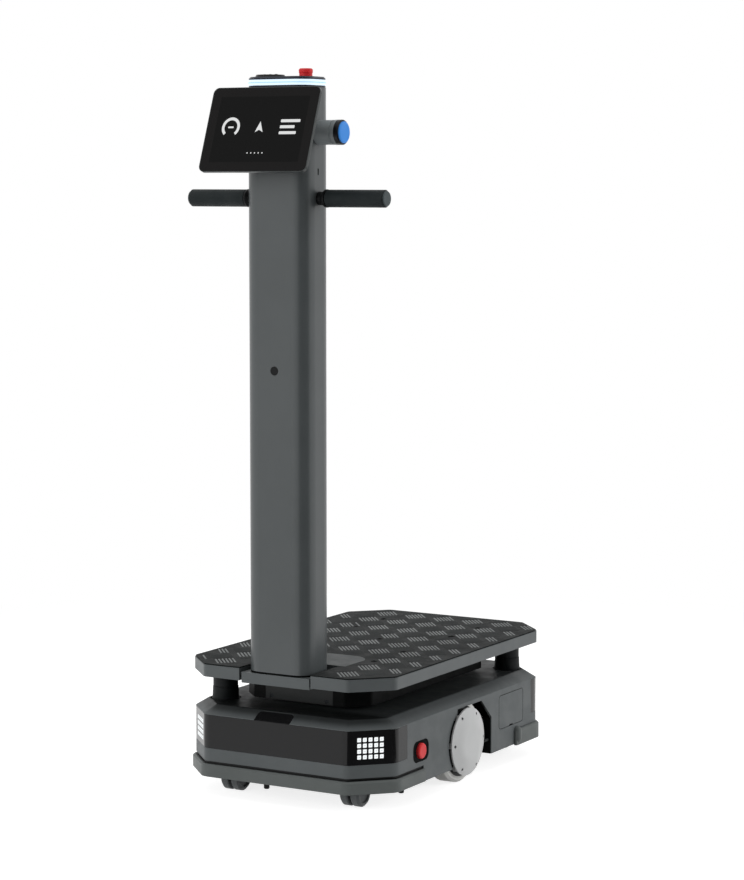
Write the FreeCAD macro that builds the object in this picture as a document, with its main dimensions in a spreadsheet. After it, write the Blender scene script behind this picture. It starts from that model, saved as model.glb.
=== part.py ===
import FreeCAD, Part
import math
import os
import re
import Sketcher

# Self-driving load carrier: a low base on two hub-motor wheels and four swivel casters, a load
# deck on rubber posts, and a mast at the front with a handlebar, a display and signal lights.
# +Z is up, the front faces -Y, and the floor is z = 0. The origin lies under the middle of the
# robot's overall length, so the base's own centre stands load_centre_y behind it.

Vector = FreeCAD.Vector
X_AXIS = Vector(1, 0, 0)
Y_AXIS = Vector(0, 1, 0)
Z_AXIS = Vector(0, 0, 1)

# Corners are cut at 45 degrees. Moving such an outline outwards by t shifts each kink along its
# straight side by KINK * t and lengthens the cut by CUT_GROWTH * t.
KINK = math.tan(math.radians(22.5))
CUT_GROWTH = 2 - math.sqrt(2)

# Driving dimensions, in millimetres and degrees.
SIZES = {
    "load_centre_y": 34.0,
    "clearance": 0.3,
    # base shell
    "base_half_width": 222.7,
    "base_half_length": 355.8,
    "base_corner_cut": 65.5,
    "base_bottom_z": 36.0,
    "shoulder_z": 157.4,
    "slope_inset": 25.0,
    "slope_rise": 16.0,
    "shell_wall": 4.5,
    "base_corner_round": 12.0,
    # dark window bands let into the shell
    "window_depth": 2.0,
    "window_height": 64.0,
    "window_drop": 1.4,
    "window_reach": 109.0,
    "rear_window_height": 69.0,
    "rear_window_reach": 88.8,
    # sensor window in the front slope
    "sensor_x": -7.6,
    "sensor_half_width": 39.5,
    "sensor_length": 22.0,
    "sensor_lap": 1.0,
    "sensor_sink": 0.6,
    "sensor_round": 9.0,
    # bumper skirts
    "skirt_proud": 6.6,
    "skirt_bottom_z": 38.0,
    "skirt_top_z": 62.0,
    "skirt_reach": 172.0,
    "skirt_seam": 5.0,
    "skirt_seam_depth": 2.5,
    "skirt_bevel": 3.0,
    "rear_skirt_bottom_z": 34.0,
    "rear_skirt_top_z": 65.8,
    "rear_skirt_reach": 164.0,
    "skirt_boss_round": 8.0,
    # light matrices on the front corners
    "led_size": 8.8,
    "led_pitch": 11.0,
    "led_thick": 0.6,
    "led_drop": 34.4,
    # chassis
    "chassis_bottom_z": 62.0,
    "chassis_thick": 5.0,
    "column_radius": 27.0,
    "post_inset_x": 56.7,
    "post_inset_y": 85.8,
    "column_hole_gap": 3.0,
    # deck posts
    "post_foot_radius": 26.0,
    "post_head_radius": 24.0,
    "post_ring_rise": 23.6,
    "post_ring_depth": 1.2,
    "post_ring_width": 2.0,
    # load deck
    "deck_half_width": 224.0,
    "deck_half_length": 357.0,
    "deck_corner_cut": 66.0,
    "deck_corner_round": 16.0,
    "deck_lift": 56.0,
    "deck_thick": 23.0,
    "deck_rim": 4.0,
    "deck_skin": 6.0,
    "deck_notch_reach": 78.7,
    "mat_thick": 2.5,
    "mat_inset": 1.5,
    "anchor_x": 111.0,
    "anchor_front_y": 127.0,
    "anchor_rear_y": 243.0,
    "anchor_radius": 3.4,
    "anchor_mat_radius": 5.5,
    # pan under the deck
    "tray_half_width": 138.0,
    "tray_rear_y": 250.0,
    "tray_corner_cut": 38.0,
    "tray_lift": 7.6,
    "tray_lead": 12.3,
    "tray_wall": 3.0,
    # mast foot
    "foot_half_width": 74.7,
    "foot_lead": 1.3,
    "foot_drop": 3.9,
    "foot_bar_thick": 20.5,
    "foot_plate_thick": 15.3,
    "foot_bolt_x": 61.4,
    "foot_bolt_rise": 6.5,
    "foot_bolt_radius": 4.0,
    "cover_half_width": 92.0,
    "cover_length": 104.7,
    "cover_thick": 3.0,
    "cover_round": 40.0,
    # mast
    "mast_half_width": 69.0,
    "mast_half_depth": 48.0,
    "mast_centre_y": 305.7,
    "mast_round": 33.0,
    "mast_wall": 4.0,
    "mast_top_z": 1336.0,
    "plug_z": 816.0,
    "plug_radius": 8.2,
    "plug_thick": 3.0,
    # mast head
    "neck_height": 3.5,
    "neck_inset": 0.8,
    "ring_height": 10.5,
    "ring_wall": 6.0,
    "cap_height": 5.5,
    "cap_bevel": 3.0,
    "camera_x": 32.5,
    "camera_y": 6.0,
    "camera_radius": 28.8,
    "camera_height": 4.5,
    "camera_bevel": 2.5,
    # stop button on the mast head
    "stop_inset": 28.5,
    "stop_radius": 13.0,
    "stop_height": 15.4,
    "stop_travel": 3.5,
    "stop_stem_radius": 5.0,
    "stop_well_wall": 2.0,
    "stop_well_proud": 0.8,
    "stop_well_floor": 1.4,
    # handlebar
    "handle_drop": 202.7,
    "handle_tube_radius": 11.0,
    "grip_cap_proud": 2.0,
    "grip_radius": 16.2,
    "collar_length": 18.0,
    "grip_length": 124.0,
    "grip_bevel": 2.0,
    "collar_radius": 12.5,
    "collar_neck": 8.0,
    "collar_rim": 3.0,
    "collar_flare": 16.8,
    "grip_cap_thick": 3.2,
    # signal button on the mast's right side
    "button_drop": 82.4,
    "button_radius": 22.6,
    "button_reach": 32.8,
    "button_root": 8.0,
    "button_bore_radius": 17.0,
    "button_bore_depth": 13.0,
    "bezel_length": 19.2,
    "bezel_neck": 4.2,
    "bezel_groove": 1.3,
    "bezel_floor": 2.0,
    "bezel_wall": 2.5,
    "button_stem_radius": 8.0,
    "button_proud": 3.0,
    "button_travel": 3.0,
    "button_dome": 1.5,
    # display
    "display_half_width": 115.2,
    "display_half_height": 82.0,
    "display_lead": 48.3,
    "display_drop": 77.0,
    "display_tilt": 20.5,
    "display_thick": 8.0,
    "display_round": 12.0,
    "glass_thick": 1.8,
    "glass_inset": 1.6,
    "hump_half_width": 70.0,
    "hump_half_height": 45.0,
    "hump_depth": 14.0,
    "hump_taper": 12.0,
    "arm_half_width": 22.0,
    "arm_half_height": 18.0,
    # stop buttons and port flap on the base sides
    "side_stop_from_front": 161.8,
    "side_stop_drop": 60.4,
    "recess_half_length": 30.0,
    "recess_half_height": 20.5,
    "recess_round": 14.0,
    "recess_depth": 14.0,
    "recess_floor": 3.0,
    "recess_sink": 1.0,
    "side_stop_radius": 15.2,
    "side_stop_proud": 5.0,
    "side_stop_back": 4.0,
    "side_stem_radius": 6.0,
    "side_stem_length": 16.0,
    "side_stop_travel": 4.0,
    "flap_from_rear": 177.8,
    "flap_drop": 45.9,
    "flap_half_length": 53.0,
    "flap_half_height": 34.5,
    "flap_thick": 2.6,
    "flap_gap": 0.6,
    "flap_round": 8.0,
    "notch_half_length": 9.0,
    "notch_height": 3.0,
    "port_depth": 28.0,
    "port_wall": 2.5,
    "port_inset": 3.0,
    # drive wheels
    "wheel_y": 14.0,
    "tyre_radius": 81.5,
    "tyre_width": 38.0,
    "tyre_shoulder": 5.0,
    "arch_gap": 1.2,
    "hub_radius": 69.0,
    "hub_width": 36.0,
    "wheel_inset": 29.2,
    "axle_radius": 8.0,
    "axle_fit": 0.06,
    "axle_tail": 12.0,
    "disc_radius": 66.2,
    "disc_proud": 5.1,
    "disc_thick": 3.0,
    "disc_crown": 9.0,
    "disc_flat_radius": 38.0,
    "disc_crown_round": 60.0,
    "disc_boss_radius": 30.0,
    "screw_inset": 8.5,
    "screw_radius": 2.6,
    "screw_boss_radius": 5.5,
    "well_gap": 3.4,
    "well_drop": 7.4,
    "well_rear_y": 93.0,
    "well_slant_y": 51.0,
    "well_slant_drop": 47.4,
    "bracket_gap": 24.5,
    "bracket_thick": 6.0,
    "bracket_half_length": 52.0,
    "bracket_rise": 56.5,
    "bracket_flange": 42.0,
    "bay_gap": 14.5,
    "bay_spare": 6.5,
    # casters
    "caster_inset": 90.0,
    "caster_from_front": 51.8,
    "caster_from_rear": 71.8,
    "caster_trail": 18.0,
    "caster_radius": 25.0,
    "caster_wheel_width": 18.0,
    "caster_tread_round": 4.0,
    "caster_web": 5.0,
    "caster_web_gap": 0.5,
    "caster_axle_radius": 3.0,
    "caster_hood_gap": 1.5,
    "caster_hood_wall": 2.5,
    "caster_boss_radius": 13.0,
    "caster_boss_gap": 0.4,
    "caster_stem_radius": 5.0,
    "caster_stem_proud": 7.0,
    "caster_plate_reach": 27.0,
    "caster_plate_thick": 3.0,
    # transport studs
    "stud_radius": 5.5,
    "stud_bottom_z": 12.0,
    "stud_inner_x": 57.0,
    "stud_inner_y": 296.0,
    "stud_outer_x": 182.0,
    "stud_outer_y": 198.0,
    # energy and control units on the chassis
    "battery_gap": 13.0,
    "battery_length": 210.0,
    "battery_start_y": 10.0,
    "battery_height": 78.0,
    "control_gap": 8.0,
    "control_length": 120.0,
    "control_start_y": -160.0,
    "control_height": 60.0,
}

# Places worked out from those sizes.
PLACES = {
    "base_top_z": "shoulder_z+slope_rise",
    "chassis_top_z": "chassis_bottom_z+chassis_thick",
    "window_top_z": "shoulder_z-window_drop",
    "window_bottom_z": "window_top_z-window_height",
    "rear_window_bottom_z": "window_top_z-rear_window_height",
    "window_end_y": "window_reach-base_half_length",
    "rear_window_end_y": "base_half_length-rear_window_reach",
    "skirt_end_y": "skirt_reach-base_half_length",
    "rear_skirt_end_y": "base_half_length-rear_skirt_reach",
    "sensor_floor_z": "window_top_z-sensor_lap",
    "led_centre_z": "shoulder_z-led_drop",
    "post_x": "base_half_width-post_inset_x",
    "post_y": "base_half_length-post_inset_y",
    "post_ring_z": "base_top_z+post_ring_rise",
    "deck_bottom_z": "base_top_z+deck_lift",
    "deck_top_z": "deck_bottom_z+deck_thick",
    "deck_under_z": "deck_top_z-deck_skin",
    "tray_bottom_z": "base_top_z+tray_lift",
    "tray_front_y": "mast_centre_y-mast_half_depth+tray_lead",
    "foot_front_y": "mast_centre_y+mast_half_depth+foot_lead",
    "foot_rear_y": "tray_front_y-foot_plate_thick",
    "foot_bottom_z": "deck_bottom_z-foot_drop",
    "foot_top_z": "foot_bottom_z+foot_bar_thick",
    "foot_bolt_z": "tray_bottom_z+foot_bolt_rise",
    "cover_rear_y": "foot_rear_y-cover_length",
    "mast_y": "load_centre_y-mast_centre_y",
    "ring_bottom_z": "mast_top_z+neck_height",
    "cap_bottom_z": "ring_bottom_z+ring_height",
    "cap_top_z": "cap_bottom_z+cap_height",
    "stop_x": "mast_half_width-stop_inset",
    "handle_z": "mast_top_z-handle_drop",
    "grip_start_x": "mast_half_width+collar_length",
    "grip_end_x": "grip_start_x+grip_length",
    "handle_half_length": "grip_end_x+grip_cap_proud",
    "button_z": "mast_top_z-button_drop",
    "button_housing_start": "mast_half_width-button_root",
    "button_housing_end": "mast_half_width+button_reach",
    "display_y": "mast_centre_y+mast_half_depth+display_lead",
    "display_z": "mast_top_z-display_drop",
    "side_stop_y": "base_half_length-side_stop_from_front",
    "side_stop_z": "shoulder_z-side_stop_drop",
    "flap_centre_y": "base_half_length-flap_from_rear",
    "flap_centre_z": "shoulder_z-flap_drop",
    "wheel_mid_x": "base_half_width-wheel_inset",
    "bracket_x": "wheel_mid_x-tyre_width/2-bracket_gap",
    "bracket_inner_x": "bracket_x-bracket_flange",
    "bracket_top_z": "tyre_radius+bracket_rise",
    "axle_inner_x": "bracket_x-axle_tail",
    "bay_inner_x": "wheel_mid_x-tyre_width/2-bay_gap",
    "bay_half_length": "tyre_radius+bay_spare",
    "disc_rim_x": "base_half_width+disc_proud",
    "screw_circle": "disc_radius-screw_inset",
    "well_radius": "disc_radius+well_gap",
    "well_top_z": "shoulder_z-well_drop",
    "well_slant_z": "shoulder_z-well_slant_drop",
    "caster_x": "base_half_width-caster_inset",
    "caster_front_y": "base_half_length-caster_from_front",
    "caster_rear_y": "base_half_length-caster_from_rear",
    "caster_boss_top_z": "chassis_bottom_z-caster_plate_thick-caster_boss_gap",
    "caster_stem_top_z": "chassis_top_z+caster_stem_proud",
}

doc = FreeCAD.newDocument("load_carrier")
sheet = doc.addObject("Spreadsheet::Sheet", "Sizes")
for row, (name, size) in enumerate(SIZES.items(), start=1):
    sheet.set(f"A{row}", name)
    sheet.set(f"B{row}", str(size))
    sheet.setAlias(f"B{row}", name)
doc.recompute()

PIECES = []


# ---------------------------------------------------------------- helpers

def formula(text):
    """The formula with each place worked out and each size name read from the sheet."""
    def spell_out(word):
        name = word.group()
        if name in PLACES:
            return f"({formula(PLACES[name])})"
        return "Sizes." + name if name in SIZES else name
    return re.sub(r"[a-z]\w*", spell_out, str(text))


def value(text):
    return float(sheet.evalExpression(formula(text)))


def bind(thing, prop, text):
    thing.setExpression(prop, formula(text))


def piece(label, x=0, y=0, z=0, axis=Z_AXIS, angle=0):
    """A new body whose place follows three formulas and whose turn follows one."""
    body = doc.addObject("PartDesign::Body", label)
    body.Label = label
    place = Vector(value(x), value(y), value(z))
    body.Placement = FreeCAD.Placement(place, FreeCAD.Rotation(axis, value(angle)))
    for letter, text in zip("xyz", (x, y, z)):
        bind(body, "Placement.Base." + letter, text)
    if angle != 0:
        bind(body, "Placement.Rotation.Angle", angle)
    PIECES.append(body)
    return body


def origin_feature(body, role):
    return next(feature for feature in body.Origin.OriginFeatures if feature.Role == role)


def new_sketch(body, plane, lift=0, shift=(0, 0)):
    """A sketch on one of the body's own planes, lifted along its normal."""
    sketch = body.newObject("Sketcher::SketchObject", body.Label + "_sketch")
    sketch.AttachmentSupport = (origin_feature(body, plane), [""])
    sketch.MapMode = "FlatFace"
    for letter, text in zip("xyz", (shift[0], shift[1], lift)):
        bind(sketch, "AttachmentOffset.Base." + letter, text)
    return sketch


def pin_down(sketch, index, point, x, y):
    """Ties one point of the sketch to two formulas, measured from its origin."""
    for kind, text in (("DistanceX", x), ("DistanceY", y)):
        number = sketch.addConstraint(Sketcher.Constraint(kind, -1, 1, index, point, value(text)))
        bind(sketch, f"Constraints[{number}]", text)


def polygon(sketch, corners):
    """A closed outline of straight sides through corners given as pairs of formulas."""
    points = [Vector(value(x), value(y), 0) for x, y in corners]
    first = sketch.GeometryCount
    count = len(points)
    for i in range(count):
        sketch.addGeometry(Part.LineSegment(points[i], points[(i + 1) % count]))
    for i in range(count):
        following = first + (i + 1) % count
        sketch.addConstraint(Sketcher.Constraint("Coincident", first + i, 2, following, 1))
    for i, (x, y) in enumerate(corners):
        pin_down(sketch, first + i, 1, x, y)


def rectangle(sketch, x_low, y_low, x_high, y_high):
    polygon(sketch, [(x_low, y_low), (x_high, y_low), (x_high, y_high), (x_low, y_high)])


def circle(sketch, x, y, radius):
    index = sketch.addGeometry(Part.Circle(Vector(value(x), value(y), 0), Z_AXIS, value(radius)))
    pin_down(sketch, index, 3, x, y)
    number = sketch.addConstraint(Sketcher.Constraint("Radius", index, value(radius)))
    bind(sketch, f"Constraints[{number}]", radius)


def pad(body, sketch, length, symmetric=False, reverse=False, taper=0):
    feature = body.newObject("PartDesign::Pad", body.Label + "_pad")
    feature.Profile = sketch
    bind(feature, "Length", length)
    feature.SideType = "Symmetric" if symmetric else "One side"
    feature.Reversed = reverse
    if taper:
        bind(feature, "TaperAngle", taper)
    return feature


def pocket(body, sketch, length=None, reverse=False):
    """A cut of the given depth against the sketch's normal, or through all on both sides."""
    feature = body.newObject("PartDesign::Pocket", body.Label + "_pocket")
    feature.Profile = sketch
    if length is None:
        feature.Type = "ThroughAll"
        feature.SideType = "Symmetric"
    else:
        bind(feature, "Length", length)
        feature.Reversed = reverse
    return feature


def revolve(body, sketch, axis="H_Axis", angle=360):
    feature = body.newObject("PartDesign::Revolution", body.Label + "_turned")
    feature.Profile = sketch
    feature.ReferenceAxis = (sketch, [axis])
    feature.Angle = angle
    feature.Midplane = angle != 360
    return feature


def groove(body, sketch):
    feature = body.newObject("PartDesign::Groove", body.Label + "_groove")
    feature.Profile = sketch
    feature.ReferenceAxis = (sketch, ["H_Axis"])
    feature.Angle = 360
    return feature


def grid(body, originals, columns, column_span, rows, row_span, plane_sketch=None):
    """Copies of features along X and Y of the body, or along the sketch's own axes."""
    feature = body.newObject("PartDesign::LinearPattern", body.Label + "_grid")
    feature.Originals = originals
    if plane_sketch:
        feature.Direction = (plane_sketch, ["H_Axis"])
        feature.Direction2 = (plane_sketch, ["V_Axis"])
    else:
        feature.Direction = (origin_feature(body, "X_Axis"), [""])
        feature.Direction2 = (origin_feature(body, "Y_Axis"), [""])
    feature.Occurrences = columns
    feature.Occurrences2 = rows
    bind(feature, "Length", column_span)
    bind(feature, "Length2", row_span)
    body.Tip = feature
    return feature


def around(body, originals, axis, count):
    feature = body.newObject("PartDesign::PolarPattern", body.Label + "_ring")
    feature.Originals = originals
    feature.Axis = (origin_feature(body, axis), [""])
    feature.Angle = 360
    feature.Occurrences = count
    body.Tip = feature
    return feature


def mirror(body, originals, plane="YZ_Plane"):
    feature = body.newObject("PartDesign::Mirrored", body.Label + "_mirrored")
    feature.Originals = originals
    feature.MirrorPlane = (origin_feature(body, plane), [""])
    body.Tip = feature
    return feature


def edges_of(body, wanted):
    """Names of the current solid's edges that pass a test on the edge and its middle point."""
    doc.recompute()
    names = []
    for number, edge in enumerate(body.Tip.Shape.Edges, start=1):
        middle = edge.valueAt((edge.FirstParameter + edge.LastParameter) / 2)
        if wanted(edge, middle):
            names.append(f"Edge{number}")
    if not names:
        raise RuntimeError("no edge of " + body.Label + " passes the test")
    return names


def runs_along(edge, direction):
    ends = edge.valueAt(edge.LastParameter) - edge.valueAt(edge.FirstParameter)
    straight = edge.Curve.TypeId == "Part::GeomLine"
    return straight and abs(ends.normalize() * direction) > 0.999


def fillet(body, radius, wanted):
    names = edges_of(body, wanted)
    base = body.Tip
    feature = body.newObject("PartDesign::Fillet", body.Label + "_fillet")
    feature.Base = (base, names)
    bind(feature, "Radius", radius)
    return feature


def chamfer(body, size, wanted):
    names = edges_of(body, wanted)
    base = body.Tip
    feature = body.newObject("PartDesign::Chamfer", body.Label + "_chamfer")
    feature.Base = (base, names)
    bind(feature, "Size", size)
    return feature


def round_uprights(body, radius, half_x=None):
    """Rounds the vertical edges, or only those that lie at least half_x from the middle."""
    limit = -1 if half_x is None else value(half_x) - 0.01
    return fillet(body, radius,
                  lambda edge, middle: runs_along(edge, Z_AXIS) and abs(middle.x) > limit)


def at_height(text):
    level = value(text)
    return lambda edge, middle: abs(middle.z - level) < 0.01 and edge.BoundBox.ZLength < 0.01


def octagon(half_width, half_length, cut):
    """An oblong with its four corners cut off at 45 degrees."""
    w, d, c = f"({half_width})", f"({half_length})", f"({cut})"
    return [(f"{w}-{c}", f"-{d}"), (w, f"-{d}+{c}"), (w, f"{d}-{c}"), (f"{w}-{c}", d),
            (f"-{w}+{c}", d), (f"-{w}", f"{d}-{c}"), (f"-{w}", f"-{d}+{c}"), (f"-{w}+{c}", f"-{d}")]


def base_outline(inset):
    """The base's outline, moved inwards by inset."""
    return octagon(f"base_half_width-({inset})", f"base_half_length-({inset})",
                   f"base_corner_cut-{CUT_GROWTH}*({inset})")


def wrap(inner, outer, end, sign):
    """A U-shaped band round the base's front (sign -1) or rear (+1), between two distances
    outside the shell's wall. Its arms stop at the given y."""
    def path(t):
        side = f"(base_half_width+({t}))"
        nose = f"{sign}*(base_half_length+({t}))"
        kink_x = f"(base_half_width-base_corner_cut+{KINK}*({t}))"
        kink_y = f"{sign}*(base_half_length-base_corner_cut+{KINK}*({t}))"
        return [(side, end), (side, kink_y), (kink_x, nose),
                (f"-{kink_x}", nose), (f"-{side}", kink_y), (f"-{side}", end)]
    return path(outer) + path(inner)[::-1]


def tyre_section(middle, gap, inner):
    """Half of the tyre's section with its shoulders, all moved outwards by gap."""
    half, shoulder = f"(tyre_width/2+({gap}))", f"(tyre_shoulder+{KINK}*({gap}))"
    crown = f"tyre_radius+({gap})"
    return [(f"{middle}-{half}", inner), (f"{middle}-{half}", f"{crown}-{shoulder}"),
            (f"{middle}-{half}+{shoulder}", crown), (f"{middle}+{half}-{shoulder}", crown),
            (f"{middle}+{half}", f"{crown}-{shoulder}"), (f"{middle}+{half}", inner)]


HOOD_ANGLE = 100   # how much of a caster's wheels its hood covers, in degrees
BASE = {"y": "load_centre_y"}
BEYOND = 6   # how far a cutting outline stands clear outside the wall that it cuts
# the deck stands on three posts; its front right corner is carried by the mast foot and the pan
POST_PLACES = (("-post_x", "-post_y"), ("-post_x", "post_y"), ("post_x", "post_y"))


# ---------------------------------------------------------------- base

def make_chassis():
    """Steel floor plate with the three columns that carry the deck posts."""
    body = piece("chassis_frame", **BASE)
    sketch = new_sketch(body, "XY_Plane", "chassis_bottom_z")
    polygon(sketch, base_outline("shell_wall+clearance"))
    pad(body, sketch, "chassis_thick")
    bays = new_sketch(body, "XY_Plane", "chassis_top_z")
    for sign in (1, -1):
        polygon(bays, [(f"{sign}*bay_inner_x", "-wheel_y-bay_half_length"),
                       (f"{sign}*(base_half_width+{BEYOND})", "-wheel_y-bay_half_length"),
                       (f"{sign}*(base_half_width+{BEYOND})", "-wheel_y+bay_half_length"),
                       (f"{sign}*bay_inner_x", "-wheel_y+bay_half_length")])
    pocket(body, bays, "chassis_thick")
    columns = new_sketch(body, "XY_Plane", "chassis_top_z")
    for x, y in POST_PLACES:
        circle(columns, x, y, "column_radius")
    pad(body, columns, "base_top_z-chassis_top_z")
    holes = new_sketch(body, "XY_Plane", "chassis_top_z")
    for x in ("caster_x", "-caster_x"):
        for y in ("-caster_front_y", "caster_rear_y"):
            circle(holes, x, y, "caster_stem_radius+clearance")
    pocket(body, holes, "chassis_thick")


def make_shell():
    """Moulded cover of the base: upright walls, a sloped rim, wheel wells, and openings for the
    columns, window bands, stop buttons, port and front sensor."""
    body = piece("base_shell", **BASE)
    outline = new_sketch(body, "XY_Plane", "base_bottom_z")
    polygon(outline, base_outline(0))
    pad(body, outline, "base_top_z-base_bottom_z")
    bevel = chamfer(body, "slope_inset", at_height("base_top_z"))
    bevel.ChamferType = "Two distances"
    bind(bevel, "Size", "slope_rise")
    bind(bevel, "Size2", "slope_inset")
    round_uprights(body, "base_corner_round")
    lower = new_sketch(body, "XY_Plane", "shoulder_z-shell_wall")
    polygon(lower, base_outline("shell_wall"))
    pocket(body, lower, "shoulder_z-shell_wall-base_bottom_z")
    upper = new_sketch(body, "XY_Plane", "base_top_z-shell_wall")
    polygon(upper, base_outline("slope_inset+shell_wall"))
    pocket(body, upper, "slope_rise")

    wells = new_sketch(body, "YZ_Plane")
    circle(wells, "-wheel_y", "tyre_radius", "well_radius")
    pocket(body, wells)
    wells = new_sketch(body, "YZ_Plane")
    polygon(wells, [("-wheel_y-well_radius/2", "well_top_z"), ("well_slant_y", "well_top_z"),
                    ("well_rear_y", "well_slant_z"), ("well_rear_y", f"base_bottom_z-{BEYOND}"),
                    ("-wheel_y-well_radius/2", f"base_bottom_z-{BEYOND}")])
    pocket(body, wells)

    for sign in (1, -1):
        arch = new_sketch(body, "XZ_Plane", "wheel_y", ("0", "tyre_radius"))
        polygon(arch, [(f"{sign}*({x})", y) for x, y in tyre_section("wheel_mid_x", "arch_gap", 0)])
        groove(body, arch)

    for depth, low, high, end, sign in (
            ("window_depth", "window_bottom_z", "window_top_z", "window_end_y", -1),
            ("window_depth", "rear_window_bottom_z", "window_top_z", "rear_window_end_y", 1),
            ("skirt_seam_depth-clearance", "skirt_top_z+clearance",
             "skirt_top_z+skirt_seam-clearance", "skirt_end_y", -1)):
        band = new_sketch(body, "XY_Plane", f"{high}+clearance")
        stop = f"({end})-({sign})*clearance"
        polygon(band, wrap(f"-({depth})-clearance", BEYOND, stop, sign))
        pocket(body, band, f"({high})-({low})+2*clearance")

    recess = new_sketch(body, "XY_Plane", "base_top_z")
    rectangle(recess, "sensor_x-sensor_half_width", f"-base_half_length-{BEYOND}",
              "sensor_x+sensor_half_width", "sensor_length-base_half_length")
    pocket(body, recess, "base_top_z-sensor_floor_z")
    middle_x, reach = value("sensor_x"), value("sensor_half_width")
    rear = value("sensor_length-base_half_length")
    fillet(body, "sensor_round", lambda edge, middle: runs_along(edge, Z_AXIS)
           and abs(abs(middle.x - middle_x) - reach) < 0.01 and abs(middle.y - rear) < 0.01)

    holes = new_sketch(body, "XY_Plane", "base_top_z")
    for x, y in POST_PLACES:
        circle(holes, x, y, "column_radius+column_hole_gap")
    pocket(body, holes, "slope_rise+shell_wall+clearance")

    recess = new_sketch(body, "YZ_Plane")
    rectangle(recess, "-side_stop_y-recess_half_length", "side_stop_z-recess_half_height",
              "-side_stop_y+recess_half_length", "side_stop_z+recess_half_height")
    pocket(body, recess)
    front, back = value("-side_stop_y-recess_half_length"), value("-side_stop_y+recess_half_length")
    top = value("side_stop_z+recess_half_height")
    fillet(body, "recess_round", lambda edge, middle: runs_along(edge, X_AXIS)
           and min(abs(middle.y - front), abs(middle.y - back)) < 0.01 and middle.z < top + 1)

    port = new_sketch(body, "YZ_Plane", f"base_half_width+{BEYOND}")
    rectangle(port, "flap_centre_y-flap_half_length", "flap_centre_z-flap_half_height",
              "flap_centre_y+flap_half_length", "flap_centre_z+flap_half_height")
    pocket(body, port, f"shell_wall+2*{BEYOND}")
    front, back = value("flap_centre_y-flap_half_length"), value("flap_centre_y+flap_half_length")
    fillet(body, "flap_round", lambda edge, middle: runs_along(edge, X_AXIS)
           and min(abs(middle.y - front), abs(middle.y - back)) < 0.01)


def make_windows():
    """Dark glossy bands that wrap the front and the rear of the shell."""
    for label, low, end, sign in (("front_window", "window_bottom_z", "window_end_y", -1),
                                  ("rear_window", "rear_window_bottom_z", "rear_window_end_y", 1)):
        body = piece(label, **BASE)
        band = new_sketch(body, "XY_Plane", low)
        polygon(band, wrap("-window_depth", 0, end, sign))
        pad(body, band, f"window_top_z-{low}")
        kinks = {round(value(x), 3) for x, _ in wrap(0, 0, 0, sign)}
        fillet(body, "base_corner_round", lambda edge, middle: runs_along(edge, Z_AXIS)
               and round(middle.x, 3) in kinks and abs(abs(middle.y) - abs(value(end))) > 1)


def make_sensor_window():
    """Dark insert for the sensor that looks out over the front slope."""
    body = piece("front_sensor_window", **BASE)
    fall = "slope_rise/slope_inset"
    back = "sensor_length-clearance"
    side = new_sketch(body, "YZ_Plane", "sensor_x")
    lip = "-base_half_length+window_depth+clearance"
    polygon(side, [(lip, "sensor_floor_z"),
                   (f"-base_half_length+{back}", "sensor_floor_z"),
                   (f"-base_half_length+{back}", f"shoulder_z-sensor_sink+({back})*{fall}"),
                   ("-base_half_length", "shoulder_z-sensor_sink"),
                   ("-base_half_length", "window_top_z+clearance"),
                   (lip, "window_top_z+clearance")])
    pad(body, side, "2*(sensor_half_width-clearance)", symmetric=True)
    rear = value(f"-base_half_length+{back}")
    fillet(body, "sensor_round", lambda edge, middle: runs_along(edge, Z_AXIS)
           and abs(middle.y - rear) < 0.01)


def make_skirts():
    """Bumper strips that stand proud round the foot of the shell."""
    front = piece("front_skirt", **BASE)
    band = new_sketch(front, "XY_Plane", "skirt_bottom_z")
    polygon(band, wrap("clearance", "skirt_proud", "skirt_end_y", -1))
    pad(front, band, "skirt_top_z-skirt_bottom_z")
    rear = piece("rear_skirt", **BASE)
    band = new_sketch(rear, "XY_Plane", "rear_skirt_bottom_z")
    polygon(band, wrap("clearance", "skirt_proud", "rear_skirt_end_y", 1))
    pad(rear, band, "rear_skirt_top_z-rear_skirt_bottom_z")
    for body, top, end, sign in ((front, "skirt_top_z", "skirt_end_y", -1),
                                 (rear, "rear_skirt_top_z", "rear_skirt_end_y", 1)):
        outer = {round(value(x), 3) for x, _ in wrap(0, 0, 0, sign)}
        kink = value(f"base_half_width-base_corner_cut+{KINK}*skirt_proud")
        side = value("base_half_width+skirt_proud")
        stop = value(end)
        fillet(body, "base_corner_round+skirt_proud", lambda edge, middle:
               runs_along(edge, Z_AXIS) and abs(middle.y - stop) > 1
               and min(abs(abs(middle.x) - kink), abs(abs(middle.x) - side)) < 0.01)
        fillet(body, "skirt_boss_round/2", lambda edge, middle:
               runs_along(edge, Z_AXIS) and abs(middle.y - stop) < 0.01
               and abs(abs(middle.x) - side) < 0.01)
        level = value(top)
        chamfer(body, "skirt_bevel", lambda edge, middle:
                abs(middle.z - level) < 0.01 and edge.BoundBox.ZLength < 0.01
                and abs(abs(middle.x) - side) < 0.01)


def make_led_tiles():
    """Square white light tiles, five across and four high, on both front corners."""
    body = piece("led_tiles", **BASE)
    for sign in (1, -1):
        sketch = new_sketch(body, "XZ_Plane")
        turned = FreeCAD.Rotation(Y_AXIS, 45 * sign)
        sketch.AttachmentOffset = FreeCAD.Placement(Vector(0, 0, 0), turned)
        bind(sketch, "AttachmentOffset.Base.x", f"{sign}*(base_half_width-base_corner_cut/2)")
        bind(sketch, "AttachmentOffset.Base.y", "led_centre_z")
        bind(sketch, "AttachmentOffset.Base.z", "base_half_length-base_corner_cut/2")
        for column in range(5):
            for row in range(4):
                x, y = f"{column - 2}*led_pitch", f"{row - 1.5}*led_pitch"
                rectangle(sketch, f"{x}-led_size/2", f"{y}-led_size/2",
                          f"{x}+led_size/2", f"{y}+led_size/2")
        pad(body, sketch, "led_thick")


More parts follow.
